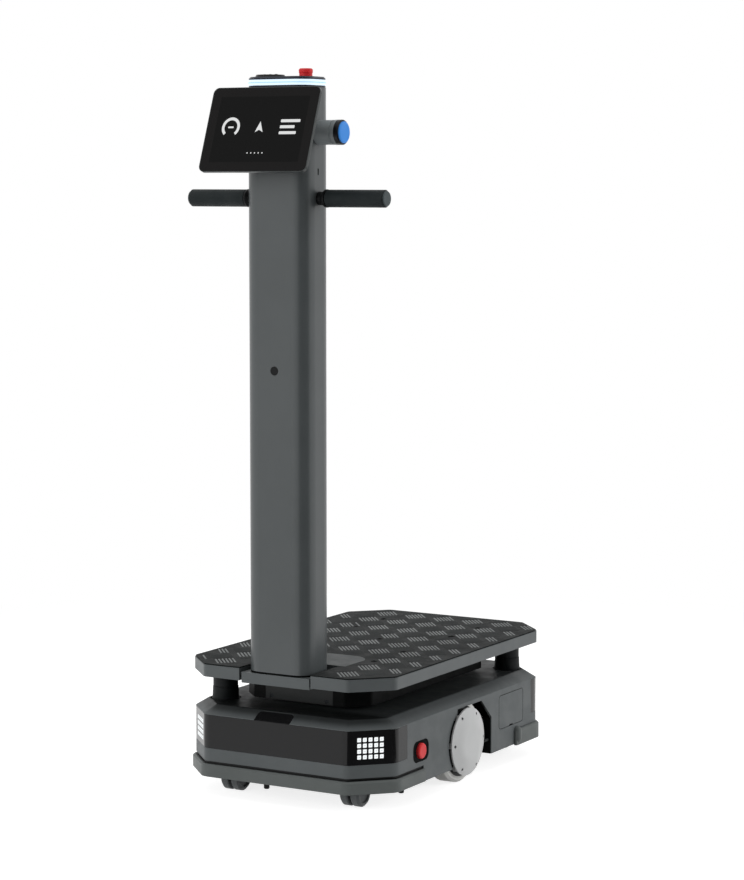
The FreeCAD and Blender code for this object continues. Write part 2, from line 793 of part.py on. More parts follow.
def make_side_stops():
    """Stop buttons low on both sides: a dark cup let into the wall and a red mushroom cap."""
    cups = piece("stop_bezels", **BASE)
    outline = new_sketch(cups, "YZ_Plane", "base_half_width-recess_sink")
    rectangle(outline, "-side_stop_y-recess_half_length+clearance",
              "side_stop_z-recess_half_height+clearance",
              "-side_stop_y+recess_half_length-clearance",
              "side_stop_z+recess_half_height-clearance")
    block = pad(cups, outline, "recess_depth-recess_sink", reverse=True)
    hollow = new_sketch(cups, "YZ_Plane", "base_half_width-recess_sink")
    circle(hollow, "-side_stop_y", "side_stop_z", "side_stop_radius+1")
    well = pocket(cups, hollow, "recess_depth-recess_sink-recess_floor")
    stem = new_sketch(cups, "YZ_Plane", "base_half_width-recess_sink")
    circle(stem, "-side_stop_y", "side_stop_z", "side_stem_radius+clearance")
    bore = pocket(cups, stem, "recess_depth-recess_sink")
    rounds = fillet(cups, "recess_round-clearance", lambda edge, middle:
                    runs_along(edge, X_AXIS) and edge.Length > 1)
    mirror(cups, [block, well, bore, rounds])

    for label, sign, turn in (("side_stop_right", 1, 0), ("side_stop_left", -1, 180)):
        cap = piece(label, f"{sign}*base_half_width", "load_centre_y-side_stop_y", "side_stop_z",
                    angle=turn)
        profile = new_sketch(cap, "XZ_Plane")
        stem_end = "-side_stop_back-side_stem_length"
        polygon(profile, [(stem_end, 0), (stem_end, "side_stem_radius"),
                          ("-side_stop_back", "side_stem_radius"),
                          ("-side_stop_back", "side_stop_radius"),
                          ("side_stop_proud", "side_stop_radius"), ("side_stop_proud", 0)])
        revolve(cap, profile)
        proud = value("side_stop_proud")
        fillet(cap, "side_stop_proud*0.8", lambda edge, middle:
               abs(edge.BoundBox.Center.x - proud) < 0.01 and edge.BoundBox.XLength < 0.01)


def make_port():
    """Flap over the port in the right side, hinged along its top edge, and the box behind it."""
    flap = piece("port_flap", "base_half_width", "load_centre_y+flap_centre_y", "flap_centre_z")
    outline = new_sketch(flap, "YZ_Plane")
    long, high = "(flap_half_length-flap_gap)", "(flap_half_height-flap_gap)"
    polygon(outline, [(f"-{long}", f"-{high}"), ("-notch_half_length", f"-{high}"),
                      ("-notch_half_length+notch_height", f"-{high}+notch_height"),
                      ("notch_half_length-notch_height", f"-{high}+notch_height"),
                      ("notch_half_length", f"-{high}"), (long, f"-{high}"),
                      (long, high), (f"-{long}", high)])
    pad(flap, outline, "flap_thick", reverse=True)
    end = value(long)
    fillet(flap, "flap_round-flap_gap", lambda edge, middle: runs_along(edge, X_AXIS)
           and abs(abs(middle.y) - end) < 0.01)
    top = value(high)
    fillet(flap, "flap_thick*0.25", lambda edge, middle:
           runs_along(edge, Y_AXIS) and abs(middle.z - top) < 0.01)

    box = piece("port_box", **BASE)
    face = "base_half_width-shell_wall-clearance"
    frame = new_sketch(box, "YZ_Plane", face)
    edge_out = "port_wall-port_inset"
    for_long, for_high = f"flap_half_length+{edge_out}", f"flap_half_height+{edge_out}"
    rectangle(frame, f"flap_centre_y-({for_long})", f"flap_centre_z-({for_high})",
              f"flap_centre_y+({for_long})", f"flap_centre_z+({for_high})")
    pad(box, frame, "port_depth", reverse=True)
    cavity = new_sketch(box, "YZ_Plane", face)
    rectangle(cavity, "flap_centre_y-flap_half_length+port_inset",
              "flap_centre_z-flap_half_height+port_inset",
              "flap_centre_y+flap_half_length-port_inset",
              "flap_centre_z+flap_half_height-port_inset")
    pocket(box, cavity, "port_depth-port_wall")


def make_studs():
    """Rubber transport studs under the chassis, two at the front and two at the rear."""
    body = piece("transport_studs", **BASE)
    feet = new_sketch(body, "XY_Plane", "stud_bottom_z")
    for x, y in (("-stud_inner_x", "-stud_inner_y"), ("stud_outer_x", "-stud_outer_y"),
                 ("stud_inner_x", "stud_inner_y"), ("-stud_outer_x", "stud_outer_y")):
        circle(feet, x, y, "stud_radius")
    pad(body, feet, "chassis_bottom_z-stud_bottom_z")
    chamfer(body, "stud_radius/4", at_height("stud_bottom_z"))


def make_inner_units():
    """Battery pack and control unit, standing on the chassis plate."""
    for label, half, start, length, height in (
            ("battery_pack", "(bracket_inner_x-battery_gap)", "battery_start_y",
             "battery_length", "battery_height"),
            ("control_unit", "(bracket_inner_x-control_gap)", "control_start_y",
             "control_length", "control_height")):
        body = piece(label, **BASE)
        floor = new_sketch(body, "XY_Plane", "chassis_top_z")
        rectangle(floor, f"-{half}", start, half, f"{start}+{length}")
        pad(body, floor, height)
        round_uprights(body, 6)


# ---------------------------------------------------------------- drive wheels and casters

def make_brackets():
    """Angle plates that stand on the chassis and clamp the drive axles."""
    body = piece("drive_brackets", **BASE)
    profile = new_sketch(body, "XZ_Plane", "wheel_y")
    polygon(profile, [("bracket_inner_x", "chassis_top_z"),
                      ("bracket_x+bracket_thick", "chassis_top_z"),
                      ("bracket_x+bracket_thick", "bracket_top_z"),
                      ("bracket_x", "bracket_top_z"),
                      ("bracket_x", "chassis_top_z+bracket_thick"),
                      ("bracket_inner_x", "chassis_top_z+bracket_thick")])
    plate = pad(body, profile, "2*bracket_half_length", symmetric=True)
    hole = new_sketch(body, "YZ_Plane", f"bracket_x+bracket_thick+{BEYOND}")
    circle(hole, "-wheel_y", "tyre_radius", "axle_radius+axle_fit")
    bore = pocket(body, hole, f"bracket_thick+2*{BEYOND}")
    top = value("bracket_top_z")
    corners = fillet(body, "bracket_thick*3", lambda edge, middle:
                     runs_along(edge, X_AXIS) and abs(middle.z - top) < 0.01)
    mirror(body, [plate, bore, corners])

    axles = piece("drive_axles", **BASE)
    ends = new_sketch(axles, "YZ_Plane", "axle_inner_x")
    circle(ends, "-wheel_y", "tyre_radius", "axle_radius")
    shaft = pad(axles, ends, "wheel_mid_x+hub_width/2-axle_inner_x-2")
    mirror(axles, [shaft])


def wheel_piece(label, side):
    """A body at the drive wheel's centre, with +X pointing outwards on its own side."""
    sign, turn = (1, 0) if side == "right" else (-1, 180)
    return piece(f"{label}_{side}", f"{sign}*wheel_mid_x", "load_centre_y-wheel_y", "tyre_radius",
                 angle=turn)


def make_drive_wheel(side):
    """Hub motor, tyre and crowned cover disc with its six screws."""
    hub = wheel_piece("hub_motor", side)
    profile = new_sketch(hub, "XZ_Plane")
    polygon(profile, [("-hub_width/2", "axle_radius+axle_fit"), ("-hub_width/2", "hub_radius*0.5"),
                      ("-hub_width/2+4", "hub_radius*0.55"), ("-hub_width/2+4", "hub_radius-8"),
                      ("-hub_width/2", "hub_radius-5"), ("-hub_width/2", "hub_radius"),
                      ("hub_width/2", "hub_radius"), ("hub_width/2", "axle_radius+axle_fit")])
    revolve(hub, profile)

    tyre = wheel_piece("drive_tyre", side)
    profile = new_sketch(tyre, "XZ_Plane")
    polygon(profile, tyre_section(0, 0, "hub_radius+clearance/2"))
    revolve(tyre, profile)

    rim = "disc_rim_x-wheel_mid_x"
    seat = "hub_width/2"
    cover = wheel_piece("wheel_cover", side)
    profile = new_sketch(cover, "XZ_Plane")
    polygon(profile, [(seat, 0), (seat, "disc_boss_radius"),
                      (f"{rim}-disc_thick", "disc_boss_radius"),
                      (f"{rim}-disc_thick", "disc_radius"), (rim, "disc_radius"),
                      (f"{rim}+disc_crown", "disc_flat_radius"), (f"{rim}+disc_crown", 0)])
    revolve(cover, profile)
    crown = value(f"{rim}+disc_crown")
    fillet(cover, "disc_crown_round", lambda edge, middle:
           abs(edge.BoundBox.XMin - crown) < 0.01 and edge.BoundBox.YLength > 1)
    boss = new_sketch(cover, "YZ_Plane", seat)
    circle(boss, "screw_circle", 0, "screw_boss_radius")
    stand = pad(cover, boss, f"{rim}-({seat})-disc_thick/2")
    around(cover, [stand], "X_Axis", 6)
    hole = new_sketch(cover, "YZ_Plane", f"{rim}+disc_crown")
    circle(hole, "screw_circle", 0, "screw_radius+clearance")
    drilled = pocket(cover, hole, f"{rim}+disc_crown-({seat})")
    around(cover, [drilled], "X_Axis", 6)

    screws = wheel_piece("cover_screws", side)
    shank = new_sketch(screws, "YZ_Plane", seat)
    circle(shank, "screw_circle", 0, "screw_radius")
    one = pad(screws, shank, f"{rim}-({seat})")
    around(screws, [one], "X_Axis", 6)


def make_caster_plates():
    """Mounting plates of the four casters, under the chassis."""
    body = piece("caster_plates", **BASE)
    outline = new_sketch(body, "XY_Plane", "chassis_bottom_z-caster_plate_thick")
    rectangle(outline, "-caster_x-caster_plate_reach", "-caster_front_y-caster_plate_reach",
              "-caster_x+caster_plate_reach", "-caster_front_y+caster_plate_reach")
    circle(outline, "-caster_x", "-caster_front_y", "caster_stem_radius+clearance")
    plate = pad(body, outline, "caster_plate_thick")
    grid(body, [plate], 2, "2*caster_x", 2, "caster_front_y+caster_rear_y")


def make_caster(label, x, y):
    """A twin-wheel caster: a web with a hood and a swivel stem, and two wheels on one axle."""
    place = (x, f"load_centre_y+({y})")
    fork = piece(f"caster_fork_{label}", *place)
    boss_foot = "2*caster_radius+caster_hood_gap"
    lug = "3*caster_axle_radius"
    web = new_sketch(fork, "YZ_Plane")
    polygon(web, [(f"caster_trail-{lug}", f"caster_radius-{lug}"),
                  (f"caster_trail+{lug}", f"caster_radius-{lug}"),
                  (f"caster_trail+{lug}+3", "caster_radius*1.64"),
                  ("caster_boss_radius", f"{boss_foot}+2"),
                  ("-caster_boss_radius", f"{boss_foot}+2"),
                  ("-caster_boss_radius", f"{boss_foot}-4")])
    pad(fork, web, "caster_web", symmetric=True)
    hood = new_sketch(fork, "XZ_Plane", "-caster_trail", (0, "caster_radius"))
    half = "(caster_web/2+caster_web_gap+caster_wheel_width)"
    rectangle(hood, f"-{half}", "caster_radius+caster_hood_gap",
              half, "caster_radius+caster_hood_gap+caster_hood_wall")
    revolve(fork, hood, angle=HOOD_ANGLE)
    boss = new_sketch(fork, "XZ_Plane")
    polygon(boss, [(0, boss_foot), ("caster_boss_radius", boss_foot),
                   ("caster_boss_radius", "caster_boss_top_z"),
                   ("caster_stem_radius", "caster_boss_top_z"),
                   ("caster_stem_radius", "caster_stem_top_z"), (0, "caster_stem_top_z")])
    revolve(fork, boss, "V_Axis")
    clear = new_sketch(fork, "YZ_Plane")
    circle(clear, "caster_trail", "caster_radius", "caster_axle_radius+axle_fit")
    pocket(fork, clear)

    wheels = piece(f"caster_wheels_{label}", x, f"load_centre_y+({y})+caster_trail",
                   "caster_radius")
    profile = new_sketch(wheels, "XZ_Plane")
    inner, outer = "(caster_web/2+caster_web_gap)", f"{half}"
    dish, rim = "caster_wheel_width/5", "caster_radius*0.7"
    right = [(inner, "caster_axle_radius"), (inner, "caster_radius-caster_tread_round/2"),
             (f"{inner}+caster_tread_round/2", "caster_radius"),
             (f"{outer}-caster_tread_round", "caster_radius"),
             (outer, "caster_radius-caster_tread_round"), (outer, rim),
             (f"{outer}-{dish}", f"{rim}-2"), (f"{outer}-{dish}", 0)]
    left = [(f"-({across})", up) for across, up in right]
    polygon(profile, right + left[::-1])
    revolve(wheels, profile)


# ---------------------------------------------------------------- deck

def make_posts():
    """Rubber posts between the chassis columns and the deck."""
    body = piece("deck_posts", **BASE)
    neck = "post_head_radius-post_ring_depth"
    for x, y in POST_PLACES:
        profile = new_sketch(body, "XZ_Plane", f"-({y})", (x, 0))
        polygon(profile, [(0, "base_top_z"), ("post_foot_radius", "base_top_z"),
                          ("post_head_radius+post_ring_depth/2", "post_ring_z"),
                          (neck, "post_ring_z"), (neck, "post_ring_z+post_ring_width"),
                          ("post_head_radius", "post_ring_z+post_ring_width"),
                          ("post_head_radius", "deck_under_z"), (0, "deck_under_z")])
        revolve(body, profile, "V_Axis")


def make_tray():
    """Steel pan under the deck, notched at the front for the mast foot."""
    body = piece("deck_tray", **BASE)

    def outline(t):
        w, front, rear = f"(tray_half_width-{t})", f"(tray_front_y-{t})", f"(tray_rear_y-{t})"
        c = f"(tray_corner_cut-{CUT_GROWTH}*{t})"
        return [(f"{w}-{c}", f"-{front}"), (w, f"-{front}+{c}"), (w, f"{rear}-{c}"),
                (f"{w}-{c}", rear), (f"-{w}+{c}", rear), (f"-{w}", f"{rear}-{c}"),
                (f"-{w}", f"-{front}+{c}"), (f"-{w}+{c}", f"-{front}")]

    base = new_sketch(body, "XY_Plane", "tray_bottom_z")
    polygon(base, outline(0))
    pad(body, base, "deck_under_z-tray_bottom_z")
    round_uprights(body, 12)
    inside = new_sketch(body, "XY_Plane", "deck_under_z")
    polygon(inside, outline("2*tray_wall"))
    pocket(body, inside, "deck_under_z-tray_bottom_z-tray_wall")
    notch = new_sketch(body, "XY_Plane", "deck_under_z")
    rectangle(notch, "-foot_half_width-clearance", f"-tray_front_y-{BEYOND}",
              "foot_half_width+clearance", "-foot_rear_y")
    pocket(body, notch, "deck_under_z-tray_bottom_z+1")


def make_foot():
    """Bracket that carries the mast: a thick head bar and a plate bolted to the pan."""
    body = piece("mast_foot", **BASE)
    side = new_sketch(body, "YZ_Plane")
    polygon(side, [("-foot_front_y", "foot_bottom_z"), ("-foot_front_y", "foot_top_z"),
                   ("-foot_rear_y-clearance", "foot_top_z"),
                   ("-foot_rear_y-clearance", "tray_bottom_z"),
                   ("-tray_front_y", "tray_bottom_z"), ("-tray_front_y", "foot_bottom_z")])
    pad(body, side, "2*foot_half_width", symmetric=True)
    holes = new_sketch(body, "XZ_Plane", "tray_front_y+1")
    for x in ("foot_bolt_x", "-foot_bolt_x"):
        circle(holes, x, "foot_bolt_z", "foot_bolt_radius+clearance")
    pocket(body, holes, "foot_plate_thick/2+1")

    bolts = piece("foot_bolts", **BASE)
    heads = new_sketch(bolts, "XZ_Plane", "tray_front_y-foot_plate_thick/2")
    for x in ("foot_bolt_x", "-foot_bolt_x"):
        circle(heads, x, "foot_bolt_z", "foot_bolt_radius")
    pad(bolts, heads, "foot_plate_thick/2-0.5")

    cover = piece("foot_cover", **BASE)
    outline = new_sketch(cover, "XY_Plane", "deck_top_z")
    rectangle(outline, "-cover_half_width", "-foot_rear_y", "cover_half_width", "-cover_rear_y")
    pad(cover, outline, "cover_thick")
    rear = value("-cover_rear_y")
    fillet(cover, "cover_round", lambda edge, middle:
           runs_along(edge, Z_AXIS) and abs(middle.y - rear) < 0.01)


def anchor_circles(sketch, radius):
    """Four threaded anchor points behind the mast foot, two rows of two."""
    for x in ("anchor_x", "-anchor_x"):
        for y in ("anchor_front_y", "anchor_rear_y"):
            circle(sketch, x, y, radius)


def make_deck():
    """Load deck, open below inside its rim, and the rubber mat on top of it."""
    deck = piece("deck_plate", **BASE)
    outline = new_sketch(deck, "XY_Plane", "deck_bottom_z")
    polygon(outline, octagon("deck_half_width", "deck_half_length", "deck_corner_cut"))
    pad(deck, outline, "deck_thick")
    round_uprights(deck, "deck_corner_round")
    under = new_sketch(deck, "XY_Plane", "deck_under_z")
    polygon(under, octagon("deck_half_width-deck_rim", "deck_half_length-deck_rim",
                           f"deck_corner_cut-{CUT_GROWTH}*deck_rim"))
    pocket(deck, under, "deck_thick-deck_skin")
    walls = new_sketch(deck, "XY_Plane", "deck_bottom_z")
    for sign in (1, -1):
        rectangle(walls, f"{sign}*deck_notch_reach", "-deck_half_length+deck_rim/2",
                  f"{sign}*(deck_notch_reach+deck_rim)", "-tray_front_y-clearance")
    pad(deck, walls, "deck_thick-deck_skin")
    notch = new_sketch(deck, "XY_Plane", "deck_top_z")
    rectangle(notch, "-deck_notch_reach", f"-deck_half_length-{BEYOND}", "deck_notch_reach",
              "-foot_rear_y")
    pocket(deck, notch, "deck_thick")
    tapped = new_sketch(deck, "XY_Plane", "deck_top_z")
    anchor_circles(tapped, "anchor_radius")
    pocket(deck, tapped, "deck_skin")

    mat = piece("rubber_mat", **BASE)
    outline = new_sketch(mat, "XY_Plane", "deck_top_z")
    polygon(outline, octagon("deck_half_width-mat_inset", "deck_half_length-mat_inset",
                             f"deck_corner_cut-{CUT_GROWTH}*mat_inset"))
    pad(mat, outline, "mat_thick")
    round_uprights(mat, "deck_corner_round-mat_inset")
    notch = new_sketch(mat, "XY_Plane", "deck_top_z+mat_thick")
    rectangle(notch, "-deck_notch_reach", f"-deck_half_length-{BEYOND}", "deck_notch_reach",
              "-foot_rear_y")
    pocket(mat, notch, "mat_thick")
    gap = new_sketch(mat, "XY_Plane", "deck_top_z+mat_thick")
    rectangle(gap, "-cover_half_width-clearance", "-foot_rear_y-clearance",
              "cover_half_width+clearance", "-cover_rear_y+clearance")
    pocket(mat, gap, "mat_thick")
    rear = value("-cover_rear_y+clearance")
    fillet(mat, "cover_round+clearance", lambda edge, middle:
           runs_along(edge, Z_AXIS) and abs(middle.y - rear) < 0.01)
    holes = new_sketch(mat, "XY_Plane", "deck_top_z+mat_thick")
    anchor_circles(holes, "anchor_mat_radius")
    pocket(mat, holes, "mat_thick")


# ---------------------------------------------------------------- mast and head

def mast_outline(body, lift, inset=0):
    sketch = new_sketch(body, "XY_Plane", lift)
    w, d = f"(mast_half_width-{inset})", f"(mast_half_depth-{inset})"
    rectangle(sketch, f"-{w}", f"-{d}", w, d)
    return sketch


def make_mast():
    """Hollow extrusion with well rounded corners and a plugged hole in its front."""
    body = piece("mast_column", y="mast_y")
    pad(body, mast_outline(body, "foot_top_z"), "mast_top_z-foot_top_z")
    pocket(body, mast_outline(body, "mast_top_z", "mast_wall"), "mast_top_z-foot_top_z")
    round_uprights(body, "mast_round", "mast_half_width")
    inner = value("mast_half_width-mast_wall")
    fillet(body, "mast_round-mast_wall", lambda edge, middle:
           runs_along(edge, Z_AXIS) and abs(abs(middle.x) - inner) < 0.01
           and abs(abs(middle.y) - value("mast_half_depth-mast_wall")) < 0.01)
    bar = new_sketch(body, "YZ_Plane")
    circle(bar, 0, "handle_z", "handle_tube_radius+clearance")
    pocket(body, bar)
    side = new_sketch(body, "YZ_Plane", f"mast_half_width+{BEYOND}")
    circle(side, 0, "button_z", "button_radius+clearance")
    pocket(body, side, f"mast_half_width+{BEYOND}")
    hole = new_sketch(body, "XZ_Plane", f"mast_half_depth+{BEYOND}")
    circle(hole, 0, "plug_z", "plug_radius+clearance")
    pocket(body, hole, f"mast_half_depth+{BEYOND}")

    plug = piece("mast_plug", y="mast_y")
    disc = new_sketch(plug, "XZ_Plane", "mast_half_depth")
    circle(disc, 0, "plug_z", "plug_radius")
    pad(plug, disc, "plug_thick", reverse=True)


def make_head():
    """Neck, glowing ring and cap that close the mast's top."""
    neck = piece("mast_neck", y="mast_y")
    pad(neck, mast_outline(neck, "mast_top_z", "neck_inset"), "neck_height")
    round_uprights(neck, "mast_round-neck_inset")

    ring = piece("light_ring", y="mast_y")
    pad(ring, mast_outline(ring, "ring_bottom_z"), "ring_height")
    pocket(ring, mast_outline(ring, "cap_bottom_z", "ring_wall"), "ring_height")
    round_uprights(ring, "mast_round", "mast_half_width")
    inner = value("mast_half_width-ring_wall")
    fillet(ring, "mast_round-ring_wall", lambda edge, middle:
           runs_along(edge, Z_AXIS) and abs(abs(middle.x) - inner) < 0.01)

    cap = piece("mast_cap", y="mast_y")
    pad(cap, mast_outline(cap, "cap_bottom_z", "neck_inset"), "cap_height")
    round_uprights(cap, "mast_round-neck_inset")
    chamfer(cap, "cap_bevel", at_height("cap_top_z"))
    hole = new_sketch(cap, "XY_Plane", "cap_top_z")
    circle(hole, "stop_x", 0, "stop_radius+stop_well_wall+2*clearance")
    pocket(cap, hole, "cap_height")

    lens = piece("top_camera_cover", "-camera_x", "mast_y-camera_y", "cap_top_z")
    profile = new_sketch(lens, "XZ_Plane")
    polygon(profile, [(0, 0), ("camera_radius", 0), ("camera_radius-camera_bevel", "camera_height"),
                      ("camera_radius*0.35", "camera_height"),
                      ("camera_radius*0.3", "camera_height-1.2"), (0, "camera_height-1.2")])
    revolve(lens, profile, "V_Axis")


def make_top_stop():
    """Stop button on the mast head: a shallow well in the cap and a red mushroom in it."""
    place = ("stop_x", "mast_y", "cap_bottom_z")
    well = piece("top_stop_well", *place)
    profile = new_sketch(well, "XZ_Plane")
    inside = "(stop_radius+clearance)"
    polygon(profile, [("stop_stem_radius+clearance", 0), (f"{inside}+stop_well_wall", 0),
                      (f"{inside}+stop_well_wall", "cap_height+stop_well_proud"),
                      (inside, "cap_height+stop_well_proud"), (inside, "stop_well_floor"),
                      ("stop_stem_radius+clearance", "stop_well_floor")])
    revolve(well, profile, "V_Axis")

    cap = piece("top_stop_cap", *place)
    profile = new_sketch(cap, "XZ_Plane")
    under = "stop_well_floor+stop_travel+clearance"
    top = f"({under}+stop_height)"
    polygon(profile, [(0, -4), ("stop_stem_radius", -4), ("stop_stem_radius", under),
                      ("stop_radius*0.94", under), ("stop_radius*0.94", f"{top}-9"),
                      ("stop_radius", f"{top}-7"), ("stop_radius", f"{top}-2.2"),
                      ("stop_radius-2.2", top), (0, f"{top}")])
    revolve(cap, profile, "V_Axis")


def make_handlebar():
    """A tube through the mast with a collar, a grip and an end cap on each side."""
    place = {"y": "mast_y", "z": "handle_z"}
    tube = piece("handle_tube", **place)
    profile = new_sketch(tube, "XZ_Plane")
    rectangle(profile, "-handle_half_length+grip_cap_thick", "handle_tube_radius-2.5",
              "handle_half_length-grip_cap_thick", "handle_tube_radius")
    revolve(tube, profile)

    collars = piece("handle_collars", **place)
    profile = new_sketch(collars, "XZ_Plane")
    bore = "handle_tube_radius+clearance/2"
    polygon(profile, [("mast_half_width+clearance", bore),
                      ("mast_half_width+clearance", "collar_radius"),
                      ("mast_half_width+collar_neck", "collar_radius"),
                      ("grip_start_x-collar_rim", "collar_flare"),
                      ("grip_start_x-clearance", "collar_flare"), ("grip_start_x-clearance", bore)])
    mirror(collars, [revolve(collars, profile)])

    grips = piece("handle_grips", **place)
    profile = new_sketch(grips, "XZ_Plane")
    polygon(profile, [("grip_start_x", bore), ("grip_start_x", "grip_radius-grip_bevel"),
                      ("grip_start_x+grip_bevel", "grip_radius"),
                      ("grip_end_x-grip_bevel", "grip_radius"),
                      ("grip_end_x", "grip_radius-grip_bevel"),
                      ("grip_end_x", "handle_tube_radius+1.5"),
                      ("handle_half_length-grip_cap_thick", "handle_tube_radius+1.5"),
                      ("handle_half_length-grip_cap_thick", bore)])
    mirror(grips, [revolve(grips, profile)])

    ends = piece("grip_ends", **place)
    profile = new_sketch(ends, "XZ_Plane")
    start = "handle_half_length-grip_cap_thick"
    polygon(profile, [(start, 0), (start, "handle_tube_radius+1.2"),
                      ("grip_end_x+clearance/2", "handle_tube_radius+1.2"),
                      ("grip_end_x+clearance/2", "grip_radius-grip_bevel"),
                      ("handle_half_length", "grip_radius-grip_bevel-1"),
                      ("handle_half_length", 0)])
    mirror(ends, [revolve(ends, profile)])


def make_button():
    """Signal button on a stub on the mast's right side."""
    place = {"y": "mast_y", "z": "button_z"}
    housing = piece("button_housing", **place)
    profile = new_sketch(housing, "XZ_Plane")
    floor = "button_housing_end-button_bore_depth"
    polygon(profile, [("button_housing_start", 0), ("button_housing_start", "button_radius"),
                      ("button_housing_end", "button_radius"),
                      ("button_housing_end", "button_bore_radius"),
                      (floor, "button_bore_radius"), (floor, 0)])
    revolve(housing, profile)

    bezel = piece("button_bezel", **place)
    profile = new_sketch(bezel, "XZ_Plane")
    end = "button_housing_end+bezel_length"
    bore = "button_stem_radius+clearance"
    neck = "button_housing_end+bezel_neck"
    polygon(profile, [("button_housing_end", bore),
                      ("button_housing_end", "button_radius-bezel_groove"),
                      (neck, "button_radius-bezel_groove"), (neck, "button_radius+0.4"),
                      (f"{end}-2", "button_radius+0.4"), (end, "button_radius-1.4"),
                      (end, "button_radius-bezel_wall"),
                      ("button_housing_end+bezel_floor", "button_radius-bezel_wall"),
                      ("button_housing_end+bezel_floor", bore)])
    revolve(bezel, profile)

    cap = piece("button_cap", **place)
    profile = new_sketch(cap, "XZ_Plane")
    back = "button_housing_end+bezel_floor+button_travel+clearance"
    face = f"({end}+button_proud)"
    rim = "(button_radius-bezel_wall-clearance)"
    stem_end = f"{floor}+button_travel+clearance"
    polygon(profile, [(stem_end, 0), (stem_end, "button_stem_radius"),
                      (back, "button_stem_radius"), (back, rim), (f"{face}-button_dome", rim),
                      (face, f"{rim}-button_dome*2"), (face, 0)])
    revolve(cap, profile)


def make_display():
    """Tilted touch display: a slim housing with a hump at its back, glass and a mast arm."""
    place = (0, "load_centre_y-display_y", "display_z", X_AXIS, "-display_tilt")
    housing = piece("display_housing", *place)
    outline = new_sketch(housing, "XZ_Plane", "-clearance")
    rectangle(outline, "-display_half_width", "-display_half_height",
              "display_half_width", "display_half_height")
    pad(housing, outline, "display_thick-clearance", reverse=True)
    pane = new_sketch(housing, "XZ_Plane")
    inset = "(glass_inset-clearance)"
    rectangle(pane, f"-display_half_width+{inset}", f"-display_half_height+{inset}",
              f"display_half_width-{inset}", f"display_half_height-{inset}")
    pocket(housing, pane, "glass_thick")
    half = value(f"display_half_width-{inset}")
    fillet(housing, f"display_round-{inset}", lambda edge, middle:
           runs_along(edge, Y_AXIS) and abs(abs(middle.x) - half) < 0.01)
    half = value("display_half_width")
    fillet(housing, "display_round", lambda edge, middle:
           runs_along(edge, Y_AXIS) and abs(abs(middle.x) - half) < 0.01)
    thick = value("display_thick")
    fillet(housing, "display_thick*0.3", lambda edge, middle: abs(middle.y - thick) < 0.01)
    hump = new_sketch(housing, "XZ_Plane", "-display_thick")
    rectangle(hump, "-hump_half_width", "-hump_half_height", "hump_half_width",
              "hump_half_height")
    pad(housing, hump, "hump_depth", reverse=True, taper="-hump_taper")

    glass = piece("display_glass", *place)
    pane = new_sketch(glass, "XZ_Plane")
    rectangle(pane, "-display_half_width+glass_inset", "-display_half_height+glass_inset",
              "display_half_width-glass_inset", "display_half_height-glass_inset")
    pad(glass, pane, "glass_thick", reverse=True)
    fillet(glass, "display_round-glass_inset", lambda edge, middle: runs_along(edge, Y_AXIS))

    arm = piece("display_arm", 0, "mast_y", "display_z")
    side = new_sketch(arm, "YZ_Plane")
    lean = "arm_half_height*tan(display_tilt)"
    back = "mast_centre_y-display_y+(display_thick+hump_depth)/cos(display_tilt)"
    polygon(side, [(f"{back}-{lean}", "-arm_half_height"),
                   ("-mast_half_depth", "-arm_half_height"),
                   ("-mast_half_depth", "arm_half_height"),
                   (f"{back}+{lean}", "arm_half_height")])
    pad(arm, side, "2*arm_half_width", symmetric=True)


make_chassis()
make_shell()
make_windows()
make_sensor_window()
make_skirts()
make_led_tiles()
make_side_stops()
make_port()
make_studs()
make_inner_units()
make_brackets()
make_drive_wheel("right")
make_drive_wheel("left")
make_caster_plates()
make_caster("front_right", "caster_x", "-caster_front_y")
make_caster("front_left", "-caster_x", "-caster_front_y")
make_caster("rear_right", "caster_x", "caster_rear_y")
make_caster("rear_left", "-caster_x", "caster_rear_y")
make_posts()
make_tray()
make_foot()
make_deck()
make_mast()
make_head()
make_top_stop()
make_handlebar()
make_button()
make_display()

doc.recompute()
faults = [f"{thing.Label}: {thing.State}" for thing in doc.Objects
          if "Invalid" in thing.State or "Error" in thing.State]
for body in PIECES:
    if body.Shape.isNull() or not body.Shape.isValid():
        faults.append(body.Label + ": no valid shape")
if faults:
    raise RuntimeError("\n".join(faults))

os.makedirs("parts", exist_ok=True)
for body in PIECES:
    body.Shape.exportStep(f"parts/{body.Label}.step")
print(len(PIECES), "pieces written")
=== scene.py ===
# %% [markdown]
# # A load-carrying robot, dressed in Blender
# The robot is a low base on two hub-motor wheels and four swivel casters. Rubber posts lift a load
# deck above it, and a mast at the front holds a handlebar, a tilted display and signal lights.
# Its rigid pieces arrive from CAD, each already in its place. This lesson adds what a CAD model
# leaves plain: the tread on the mat, screws, lenses, wheel-well liners, the picture on the
# display, and a worked finish for every material. All lengths are in metres, +Z is up, and the
# front faces -Y.

# %% Load the frame
import math

